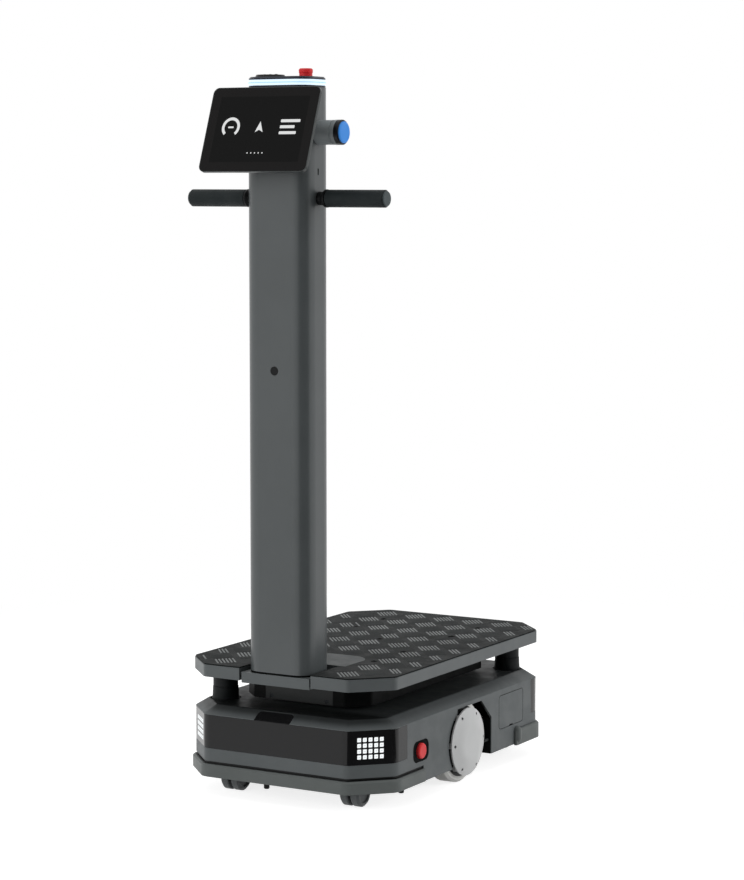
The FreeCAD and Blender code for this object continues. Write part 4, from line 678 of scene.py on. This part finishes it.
# %% [markdown]
# ## Glowing tiles
# Each front corner carries twenty square light tiles, five across and four high, behind small
# crowned lenses. One lens is a height field over a square, highest in its middle, with its own
# square of texture coordinates, so one finish can dim the middle of every tile. The lens is
# copied over the corner face, which stands at 45 degrees, and mirrored to the other corner.

# %% Tiles
tiles_low, tiles_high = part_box("led_tiles")
TILE_WIDE, TILE_TALL, TILE_PITCH, TILE_SHIFT = 0.0082, 0.0086, 0.0108, -0.0021
TILE_COLUMNS, TILE_ROWS, LENS_STEPS = 5, 4, 7


def lens(size_u, size_v, rise, steps=LENS_STEPS):
    """Height rise * (1 - u^4)(1 - v^4) over a square, with a skirt down to the base behind it."""
    u, v = np.meshgrid(np.linspace(-1, 1, steps), np.linspace(-1, 1, steps), indexing="ij")
    height = rise * (1 - u ** 4) * (1 - v ** 4)
    rim = (np.abs(u) > 0.99) | (np.abs(v) > 0.99)
    height = np.where(rim, -0.0005, height)
    grip = np.where(rim, 1.0, 0.97)
    points = np.stack([u * grip * size_u / 2, v * grip * size_v / 2, height], axis=-1)
    return points.reshape(-1, 3), skin(steps, steps), np.stack([u, v], axis=-1).reshape(-1, 2)


def make_tiles():
    """Lenses at the crossings of a lattice on the corner face, for the right and left corners."""
    flat, faces, square = lens(TILE_WIDE, TILE_TALL, 0.0002)
    along, up = np.meshgrid((np.arange(TILE_COLUMNS) - 2) * TILE_PITCH + TILE_SHIFT,
                            (np.arange(TILE_ROWS) - 1.5) * TILE_PITCH, indexing="ij")
    offsets = np.stack([along.ravel(), up.ravel(), np.zeros(along.size)], axis=-1)
    flat, faces = repeat(flat, faces, offsets)
    reach = (tiles_high.y - tiles_low.y) / 2
    middle = np.array([tiles_high.x - reach, (tiles_low.y + tiles_high.y) / 2,
                       (tiles_low.z + tiles_high.z) / 2])
    slant = math.sqrt(0.5)
    face_axes = np.array([[slant, slant, 0], [0, 0, 1], [slant, -slant, 0]])
    right = middle + flat @ face_axes
    points = np.vstack([right, right * [-1, 1, 1]])
    faces = np.vstack([faces, faces[:, ::-1] + len(right)])
    squares = np.tile(square / 2 + 0.5, (2 * len(offsets), 1))
    return points, faces, squares


def add_uv(piece, per_point):
    """Gives every corner of every face the texture coordinate of its point."""
    owners = np.empty(len(piece.data.loops), dtype=np.int32)
    piece.data.loops.foreach_get("vertex_index", owners)
    layer = piece.data.uv_layers.new(name="UVMap")
    layer.data.foreach_set("uv", per_point[owners].astype(np.float32).ravel())


tile_points, tile_faces, tile_squares = make_tiles()
tiles = build("light_tiles", tile_points, tile_faces, tile_light, "carrier", "white_light")
add_uv(tiles, tile_squares)
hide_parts("led_tiles")
print("light tiles:", len(tile_points) // LENS_STEPS ** 2)

# %% [markdown]
# ## Screw heads on the wheel covers
# Six black button-head screws hold each cover. A head is a dome with a six-sided key hole. Its
# profile is carried round: first up the dome, then down the wall of the hole, whose radius
# follows a hexagon instead of a circle.

# %% Screw heads
screws_low, screws_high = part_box("cover_screws_right")
SCREW_CIRCLE = (screws_high.y - screws_low.y) / 2 - 0.0026


def screw_head(radius, height, key, turns=24):
    """Rings (radius, height) of a dome and a hexagonal hole: r = key / cos(a - nearest sixth)."""
    angle = np.linspace(0, 2 * math.pi, turns, endpoint=False)
    sixth = math.pi / 3
    hexagon = key / np.cos((angle + sixth / 2) % sixth - sixth / 2)
    rings = [(np.full(turns, radius), 0.0), (np.full(turns, radius), 0.35 * height),
             (np.full(turns, radius * 0.8), 0.8 * height),
             (np.full(turns, radius * 0.55), height), (hexagon, height),
             (hexagon, 0.2 * height), (hexagon * 0.02, 0.15 * height)]
    points = np.concatenate([np.column_stack([r * np.cos(angle), r * np.sin(angle),
                                              np.full(turns, z)]) for r, z in rings])
    return points, skin(len(rings), turns, close_columns=True)


def make_cover_screws(side):
    """Six heads round the wheel's axis, seated on the cover's sloping rim."""
    points, faces = screw_head(radius=0.0044, height=0.0022, key=0.0014)
    sixths = np.arange(6) * math.pi / 3
    seat = screws_high.x - 0.0002
    offsets = np.column_stack([wheel_middle.y + SCREW_CIRCLE * np.cos(sixths),
                               wheel_middle.z + SCREW_CIRCLE * np.sin(sixths),
                               np.full(6, seat)])
    points, faces = repeat(points, faces, offsets)
    points = points[:, [2, 0, 1]] * [side, 1, 1]
    return points, faces if side > 0 else faces[:, ::-1]


for side_name, side in (("right", 1), ("left", -1)):
    heads = build("cover_screw_heads_" + side_name, *make_cover_screws(side), dark_screw,
                  "drive_wheel_" + side_name, "black_steel")
    print(heads.name, "at a radius of", round(SCREW_CIRCLE, 4))

# %% [markdown]
# ## Screws of the mat
# Nine flat black screws hold the mat and the deck together, in two rows of four and one in the
# middle. They are the same ring surface as the cover's screws, lower and wider, and the tread
# leaves a clear round patch for each of them.


# %% Mat screws
def make_mat_screws():
    """Nine heads of 6.4 mm radius and 0.9 mm height, seated on the mat."""
    points, faces = screw_head(radius=0.0064, height=0.0009, key=0.0027)
    seat = np.full(len(MAT_SCREWS), mat_high.z - 0.0001)
    return repeat(points, faces, np.column_stack([MAT_SCREWS, seat]))


mat_screws = build("mat_screws", *make_mat_screws(), recess_black, "carrier", "black_steel")
print("mat screws:", len(MAT_SCREWS))

# %% [markdown]
# ## Liners of the wheel wells
# The base is hollow, and behind each drive wheel two plates, one along the robot and one across
# it, close the well towards the inside and the rear. They keep dirt out of the base, and no floor
# shows past the tyre. Their black is painted shade, the same as the inside of the wells. A plate
# is a box, and its eight corners are every choice of a low or a high side along the three axes.

# %% Well liners
LINER_INSIDE, LINER_START, LINER_REAR, LINER_HEIGHT = 0.1665, 0.058, 0.1255, 0.072
BOX_CORNERS = np.array([[x, y, z] for x in (0, 1) for y in (0, 1) for z in (0, 1)])
BOX_FACES = np.array([[0, 1, 3, 2], [4, 6, 7, 5], [0, 4, 5, 1], [2, 3, 7, 6], [0, 2, 6, 4],
                      [1, 5, 7, 3]])


def make_liners():
    """Plates of low + corner * size, two behind the right wheel and their mirror images."""
    low = np.array([[[LINER_INSIDE, LINER_START, shell_low.z]],
                    [[LINER_INSIDE, LINER_REAR, shell_low.z]]])
    size = np.array([[[0.002, LINER_REAR - LINER_START, LINER_HEIGHT]],
                     [[0.054, 0.0015, LINER_HEIGHT]]])
    right = (low + BOX_CORNERS * size).reshape(-1, 3)
    faces = np.concatenate([BOX_FACES, BOX_FACES + len(BOX_CORNERS)])
    return (np.concatenate([right, right * [-1, 1, 1]]),
            np.concatenate([faces, faces[:, ::-1] + len(right)]))


# The liners' black is painted shade of the wells.
liners = build("well_liners", *make_liners(), recess_black, "carrier", "black_plastic",
               smooth=False)
print("well liners:", len(liners.data.polygons), "faces")

# %% [markdown]
# ## Small parts of the head
# The camera cover on top of the mast has three low round lenses, and the mast's right side has
# a slotted key hole with a rubber plug. Both are domes: rings that shrink towards the middle
# while the height grows as a circle's does, over a circle for a lens and a slot for the plug.


# %% Lenses and plug
def dome(half_length, radius, height, turns=32, rings=6):
    """Rings of a slot shape at shares r of its radius, lifted by height * sqrt(1 - r^2)."""
    angle = np.linspace(0, 2 * math.pi, turns, endpoint=False)
    share = np.linspace(1, 0.02, rings)[:, None]
    across = radius * share * np.cos(angle)
    along = radius * share * np.sin(angle) + half_length * np.sign(np.sin(angle)) * share ** 0.2
    lift = height * np.sqrt(np.clip(1 - share ** 2, 0, 1)) * np.ones(turns)
    points = np.stack([across, along, lift], axis=-1).reshape(-1, 3)
    return points, skin(rings, turns, close_columns=True)


camera_low, camera_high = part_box("top_camera_cover")
camera_middle = (camera_low + camera_high) / 2
lens_points, lens_faces = dome(half_length=0.0, radius=0.0042, height=0.0016)
lens_spots = np.array([[-0.0125, 0, 0], [0, 0, 0], [0.0125, 0, 0]])
lens_spots = lens_spots + [camera_middle.x, camera_middle.y, camera_high.z - 0.0001]
camera_lenses = build("camera_lenses", *repeat(lens_points, lens_faces, lens_spots),
                      screen_glass, "carrier", "smoked_window")

mast_low, mast_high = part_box("mast_column")
mast_middle = (mast_low + mast_high) / 2
plug_points, plug_faces = dome(half_length=0.0042, radius=0.0022, height=0.0004)
plug_points = plug_points[:, [2, 0, 1]] + [mast_high.x - 0.00005, mast_middle.y - 0.004, 1.182]
side_plug = build("side_plug", plug_points, plug_faces, recess_black, "carrier",
                  "black_plastic")
print("head parts:", camera_lenses.name, side_plug.name)

# %% [markdown]
# ## Painted shade at the mast's foot
# A dark band rings the mast where it stands on its foot: painted shade, standing in for the
# shadow line under the mast's edge. It follows the mast's outline, a rectangle with wide round
# corners: each corner's centre plus the radius along the turning direction. That loop is carried
# up a small rounded profile.


# %% Painted shade band
MAST_ROUND, SHADE_BAND_HEIGHT, SHADE_BAND_TURNS = 0.033, 0.0038, 96
SHADE_BAND_BULGE = np.array([-0.0004, 0.0004, 0.0005, 0.0004, -0.0004])[:, None]
SHADE_BAND_RISE = np.array([0.0, 0.0002, 0.5, 0.9, 1.0])[:, None] * SHADE_BAND_HEIGHT


def make_foot_shade_band():
    """Loop c + (r + e) (cos a, sin a), with c one of four corner centres and e the bulge."""
    angle = np.linspace(0, 2 * math.pi, SHADE_BAND_TURNS, endpoint=False)
    half, past_zero = (mast_high - mast_low) / 2, angle + 1e-6
    centre_x = np.sign(np.cos(past_zero)) * (half.x - MAST_ROUND)
    centre_y = np.sign(np.sin(past_zero)) * (half.y - MAST_ROUND)
    x = mast_middle.x + centre_x + (MAST_ROUND + SHADE_BAND_BULGE) * np.cos(angle)
    y = mast_middle.y + centre_y + (MAST_ROUND + SHADE_BAND_BULGE) * np.sin(angle)
    points = np.stack([x, y, mast_low.z + SHADE_BAND_RISE + 0 * x], axis=-1).reshape(-1, 3)
    return points, skin(len(SHADE_BAND_BULGE), SHADE_BAND_TURNS, close_columns=True)


# The band is painted shade: a black loop at the mast's foot where its shadow line falls.
foot_shade_band = build("mast_foot_shade_band", *make_foot_shade_band(), recess_black, "carrier", "black_rubber")
print("gasket faces:", len(foot_shade_band.data.polygons))

# %% [markdown]
# ## Ends of the rear bumper
# Each arm of the rear bumper ends in a rounded boss with a domed top, which hides the screw that
# holds the arm. It is a capsule: a circle carried up a path whose radius shrinks at both ends.


# %% Bumper bosses
rear_low, rear_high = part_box("rear_skirt")
BOSS_RADIUS = 0.0095


def capsule(radius, low, high, turns=24):
    """Rings of r = radius * cos(t) at the ends, where t runs from the pole to the equator."""
    tip = np.linspace(-math.pi / 2 + 0.02, 0, 6)
    radii = np.concatenate([radius * np.cos(tip), radius * np.cos(tip[::-1])])
    heights = np.concatenate([low + radius + radius * np.sin(tip),
                              high - radius - radius * np.sin(tip[::-1])])
    angle = np.linspace(0, 2 * math.pi, turns, endpoint=False)
    r, a = np.meshgrid(radii, angle, indexing="ij")
    h = np.broadcast_to(heights[:, None], r.shape)
    points = np.stack([r * np.cos(a), r * np.sin(a), h], axis=-1).reshape(-1, 3)
    return points, skin(len(radii), turns, close_columns=True)


boss_points, boss_faces = capsule(BOSS_RADIUS, rear_low.z + 0.003, rear_high.z + 0.006)
boss_spots = np.array([[side * (rear_high.x - 0.005), rear_low.y + 0.010, 0.0]
                       for side in (1, -1)])
bosses = build("bumper_bosses", *repeat(boss_points, boss_faces, boss_spots), boss_plastic,
               "carrier", "grey_shell")
print("bumper bosses:", len(bosses.data.polygons), "faces")

# %% [markdown]
# ## Picture on the display
# The display shows a plain status page: a ring gauge for the battery, an arrow for the heading,
# three bars, and a thin line of dots. It is drawn by mathematics in the glass's own finish.
# The glass leans back, so its coordinates are first turned upright round its middle. Each shape
# is then a distance: a ring is a band of distance from its middle, and a bar is the distance to
# a box. Inside a shape the glass glows softly, as a lit panel does.

# %% Shapes of the status page
DISPLAY_TILT = math.radians(20.5)
glass_low, glass_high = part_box("display_glass")
glass_middle = (glass_low + glass_high) / 2


def upright(tree):
    """Coordinates u across and v up the leaning glass, counted from its middle."""
    turned = add(tree, "VectorRotate", {"Vector": place(tree), "Center": tuple(glass_middle),
                                        "Axis": (1, 0, 0), "Angle": DISPLAY_TILT},
                 rotation_type="AXIS_ANGLE").outputs[0]
    axes = axes_of(tree, turned)
    return axes["X"], maths(tree, "SUBTRACT", axes["Z"], glass_middle.z)


def bar(tree, u, v, middle, half, rounding):
    """1 within rounding of a box. A box without size gives a dot."""
    return maths(tree, "LESS_THAN", outside(tree, (u, v), middle, half), rounding)


def gauge(tree, u, v, middle, radius, width, start, end):
    """1 on a ring's band between two angles, counted clockwise from straight down."""
    du = maths(tree, "SUBTRACT", u, middle[0])
    dv = maths(tree, "SUBTRACT", v, middle[1])
    band = maths(tree, "COMPARE", length(tree, du, dv), radius)
    band.node.inputs[2].default_value = width / 2
    angle = maths(tree, "ARCTAN2", maths(tree, "MULTIPLY", du, -1.0),
                  maths(tree, "MULTIPLY", dv, -1.0))
    turn = maths(tree, "FLOORED_MODULO", angle, 2 * math.pi)
    return all_of(tree, band, maths(tree, "GREATER_THAN", turn, start),
                  maths(tree, "LESS_THAN", turn, end))


def arrow(tree, u, v, middle, height, width):
    """1 inside a triangle pointing up: below its two slopes and above its notched foot."""
    du = maths(tree, "ABSOLUTE", maths(tree, "SUBTRACT", u, middle[0]))
    dv = maths(tree, "SUBTRACT", v, middle[1])
    slope = maths(tree, "MULTIPLY", du, -2 * height / width)
    roof = maths(tree, "LESS_THAN", dv, maths(tree, "ADD", slope, height / 2))
    notch = maths(tree, "MULTIPLY", du, -0.55)
    foot = maths(tree, "GREATER_THAN", dv, maths(tree, "ADD", notch, -height * 0.24))
    return maths(tree, "MULTIPLY", roof, foot)


# %% Status page
GAUGE_MIDDLE, ARROW_MIDDLE = (-0.062, 0.004), (0.0, 0.004)
BAR_START, BAR_TOP, BAR_PITCH, BAR_HALVES = 0.045, 0.0155, 0.0115, (0.019, 0.014, 0.0165)
DOT_START, DOT_PITCH, DOT_LINE, DOTS = -0.016, 0.008, -0.046, 5
PANEL_HALF = (0.094, 0.062)


def status_shapes(tree, u, v):
    """Ring gauge with a bar in it, arrow, three bars and a line of dots, each a mask."""
    shapes = [gauge(tree, u, v, GAUGE_MIDDLE, 0.0165, 0.0055, 0.7, 5.58),
              bar(tree, u, v, GAUGE_MIDDLE, (0.0045, 0.0), 0.0016),
              arrow(tree, u, v, ARROW_MIDDLE, 0.022, 0.018)]
    for row, half in enumerate(BAR_HALVES):
        shapes.append(bar(tree, u, v, (BAR_START + half, BAR_TOP - BAR_PITCH * row),
                          (half, 0.0012), 0.0016))
    for dot in range(DOTS):
        shapes.append(bar(tree, u, v, (DOT_START + DOT_PITCH * dot, DOT_LINE), (0.0, 0.0),
                          0.0013))
    return shapes


def draw_status(material):
    """Takes the largest of the masks and lets it glow in a soft white on the dark panel."""
    tree = material.node_tree
    shader = tree.nodes["Principled BSDF"]
    u, v = upright(tree)
    shapes = status_shapes(tree, u, v)
    lit = shapes[0]
    for shape in shapes[1:]:
        lit = maths(tree, "MAXIMUM", lit, shape)
    tree.links.new(blend(tree, lit, (0, 0, 0, 1), paint(228, 229, 229)),
                   shader.inputs["Emission Color"])
    shader.inputs["Emission Strength"].default_value = 0.95
    panel = bar(tree, u, v, (0.0, 0.0), PANEL_HALF, 0.0015)
    tone = shader.inputs["Base Color"].links[0].from_socket
    tree.links.new(blend(tree, panel, paint(25, 24, 24), tone), shader.inputs["Base Color"])


status_glass = screen_glass.copy()
status_glass.name = "status_glass"
draw_status(status_glass)
dress(status_glass, "display_glass")
print("status page drawn round", [round(x, 4) for x in glass_middle])
print("nodes without a finish:", sorted(set(nodes) - dressed))

# %% [markdown]
# ## Studio
# The robot stands on a plain white floor in soft light. Dark paint only shows its shape when the
# light comes from a few wide lamps and the rest of the room gives little, so the world is white
# where it is looked at, in the picture and in reflections, and dim as a source of light. The
# floor is lit round the wheels, where it takes the robot's soft shadow, and turns into the same
# white as the world further out, so no horizon shows.


# %% Floor
WHITE, FLOOR_TURNS, FLOOR_RINGS = (1, 1, 1, 1), 64, (0.001, 2.0, 8.0, 40.0)


def sheet(name, points, faces, material):
    """A studio object, attached to no body of the robot."""
    mesh = bpy.data.meshes.new(name)
    mesh.from_pydata(points.tolist(), [], faces.tolist())
    mesh.materials.append(material)
    made = bpy.data.objects.new(name, mesh)
    bpy.context.scene.collection.objects.link(made)
    return made


def looked_at(tree):
    """1 on rays that show a thing to the camera, a mirror or glass, and 0 on rays of light."""
    rays = add(tree, "LightPath").outputs
    seen = maths(tree, "MAXIMUM", rays["Is Camera Ray"], rays["Is Glossy Ray"])
    return maths(tree, "MAXIMUM", seen, rays["Is Transmission Ray"])


def make_floor(lift=0.8, near=0.75, far=2.2):
    """A wide disc of rings: a lit white floor near by, plain white beyond the far radius."""
    material = bpy.data.materials.new("floor_white")
    material.use_nodes = True
    tree = material.node_tree
    shader = tree.nodes["Principled BSDF"]
    shader.inputs["Base Color"].default_value = (0.55, 0.55, 0.55, 1)
    shader.inputs["Roughness"].default_value = 0.9
    shader.inputs["Specular IOR Level"].default_value = 0.0
    shader.inputs["Emission Color"].default_value = WHITE
    seen = looked_at(tree)
    tree.links.new(maths(tree, "MULTIPLY", seen, lift), shader.inputs["Emission Strength"])
    away = add(tree, "VectorMath", {0: place(tree)}, operation="LENGTH").outputs["Value"]
    share = maths(tree, "MULTIPLY", span(tree, away, near, far), seen)
    white = add(tree, "Emission", {"Color": WHITE, "Strength": 1.0})
    mixed = add(tree, "MixShader", {0: share, 1: shader.outputs[0], 2: white.outputs[0]})
    tree.links.new(mixed.outputs[0], tree.nodes["Material Output"].inputs["Surface"])
    turn = np.linspace(0, 2 * math.pi, FLOOR_TURNS, endpoint=False)
    r, t = np.meshgrid(FLOOR_RINGS, turn, indexing="ij")
    points = np.stack([r * np.cos(t), r * np.sin(t), np.zeros_like(r)], axis=-1).reshape(-1, 3)
    faces = skin(len(FLOOR_RINGS), FLOOR_TURNS, close_columns=True)
    return sheet("floor", points, faces, material)


make_floor()
print("floor laid")

# %% [markdown]
# ## Dark card
# To make the corners of a rounded post read, a studio sets a black card beside it.
# The card is seen only in reflections: it gives the mast's corner and the bevelled corners of
# the smoked bands their deep tone. It is a curved sheet round the robot's right front, with an
# apron on the floor, because low glossy faces mirror the floor before them.


# %% Card
CARD_PROFILE = np.array([[0.62, 0.004], [2.0, 0.004], [2.5, 0.3], [2.6, 2.6]])
CARD_STEPS = 24


def make_card(first=18.0, last=84.0):
    """A profile of radius and height carried round: x = r sin(a), y = -r cos(a)."""
    material = bpy.data.materials.new("black_card")
    material.use_nodes = True
    shader = material.node_tree.nodes["Principled BSDF"]
    shader.inputs["Base Color"].default_value = (0.004, 0.004, 0.004, 1)
    shader.inputs["Roughness"].default_value = 1.0
    shader.inputs["Specular IOR Level"].default_value = 0.0
    angle = np.radians(np.linspace(first, last, CARD_STEPS))[:, None]
    radius, height = CARD_PROFILE.T
    points = np.stack([radius * np.sin(angle), -radius * np.cos(angle), height + 0 * angle],
                      axis=-1)
    faces = skin(CARD_STEPS, len(CARD_PROFILE))
    card = sheet("dark_card", points.reshape(-1, 3), faces, material)
    card.visible_camera = card.visible_diffuse = card.visible_shadow = False
    card.visible_transmission = False
    return card


make_card()
print("card set up")


# %% [markdown]
# ## World and lamps
# Four square lamps, each several metres away and wide enough to leave no hard shadow, stand round
# the robot. The two strong ones are low, so that the upright faces get more light than the mat.
# A weaker one from behind fills the far side, and a small one overhead gives the deck its sheen.
# No lamp shows in the picture or in a reflection.


# %% World and lamps
def make_world(seen=1.0, low=0.12, high=0.5):
    """White where the camera, a mirror or glass looks at it, and as a light dim and from above."""
    world = bpy.data.worlds.new("studio")
    bpy.context.scene.world = world
    world.use_nodes = True
    tree = world.node_tree
    background = tree.nodes["Background"]
    climb = axes_of(tree, add(tree, "TexCoord").outputs["Generated"])["Z"]
    cast = span(tree, climb, -0.2, 1.0, low, high)
    strength = add(tree, "MapRange", {"Value": looked_at(tree), "To Min": cast, "To Max": seen})
    tree.links.new(strength.outputs[0], background.inputs["Strength"])
    background.inputs["Color"].default_value = WHITE


def make_lamp(name, azimuth, elevation, distance, size, power):
    """A square soft lamp on a sphere round the robot, aimed at the middle of its mast."""
    turn, rise = math.radians(azimuth), math.radians(elevation)
    away = Vector((math.sin(turn) * math.cos(rise), -math.cos(turn) * math.cos(rise),
                   math.sin(rise)))
    data = bpy.data.lights.new(name, "AREA")
    data.shape, data.size, data.energy = "SQUARE", size, power
    lamp = bpy.data.objects.new(name, data)
    bpy.context.scene.collection.objects.link(lamp)
    lamp.location = Vector((0, 0, 0.6)) + away * distance
    lamp.rotation_euler = away.to_track_quat("Z", "Y").to_euler()
    lamp.visible_camera = lamp.visible_glossy = False
    return lamp


make_world()
make_lamp("left_front_lamp", -25, 12, 8.0, 5.0, 420)
make_lamp("right_rear_lamp", 112, 12, 8.0, 5.0, 420)
make_lamp("left_rear_lamp", 215, 15, 8.0, 5.0, 200)
make_lamp("top_lamp", 0, 88, 5.0, 2.6, 40)
print("studio lit")
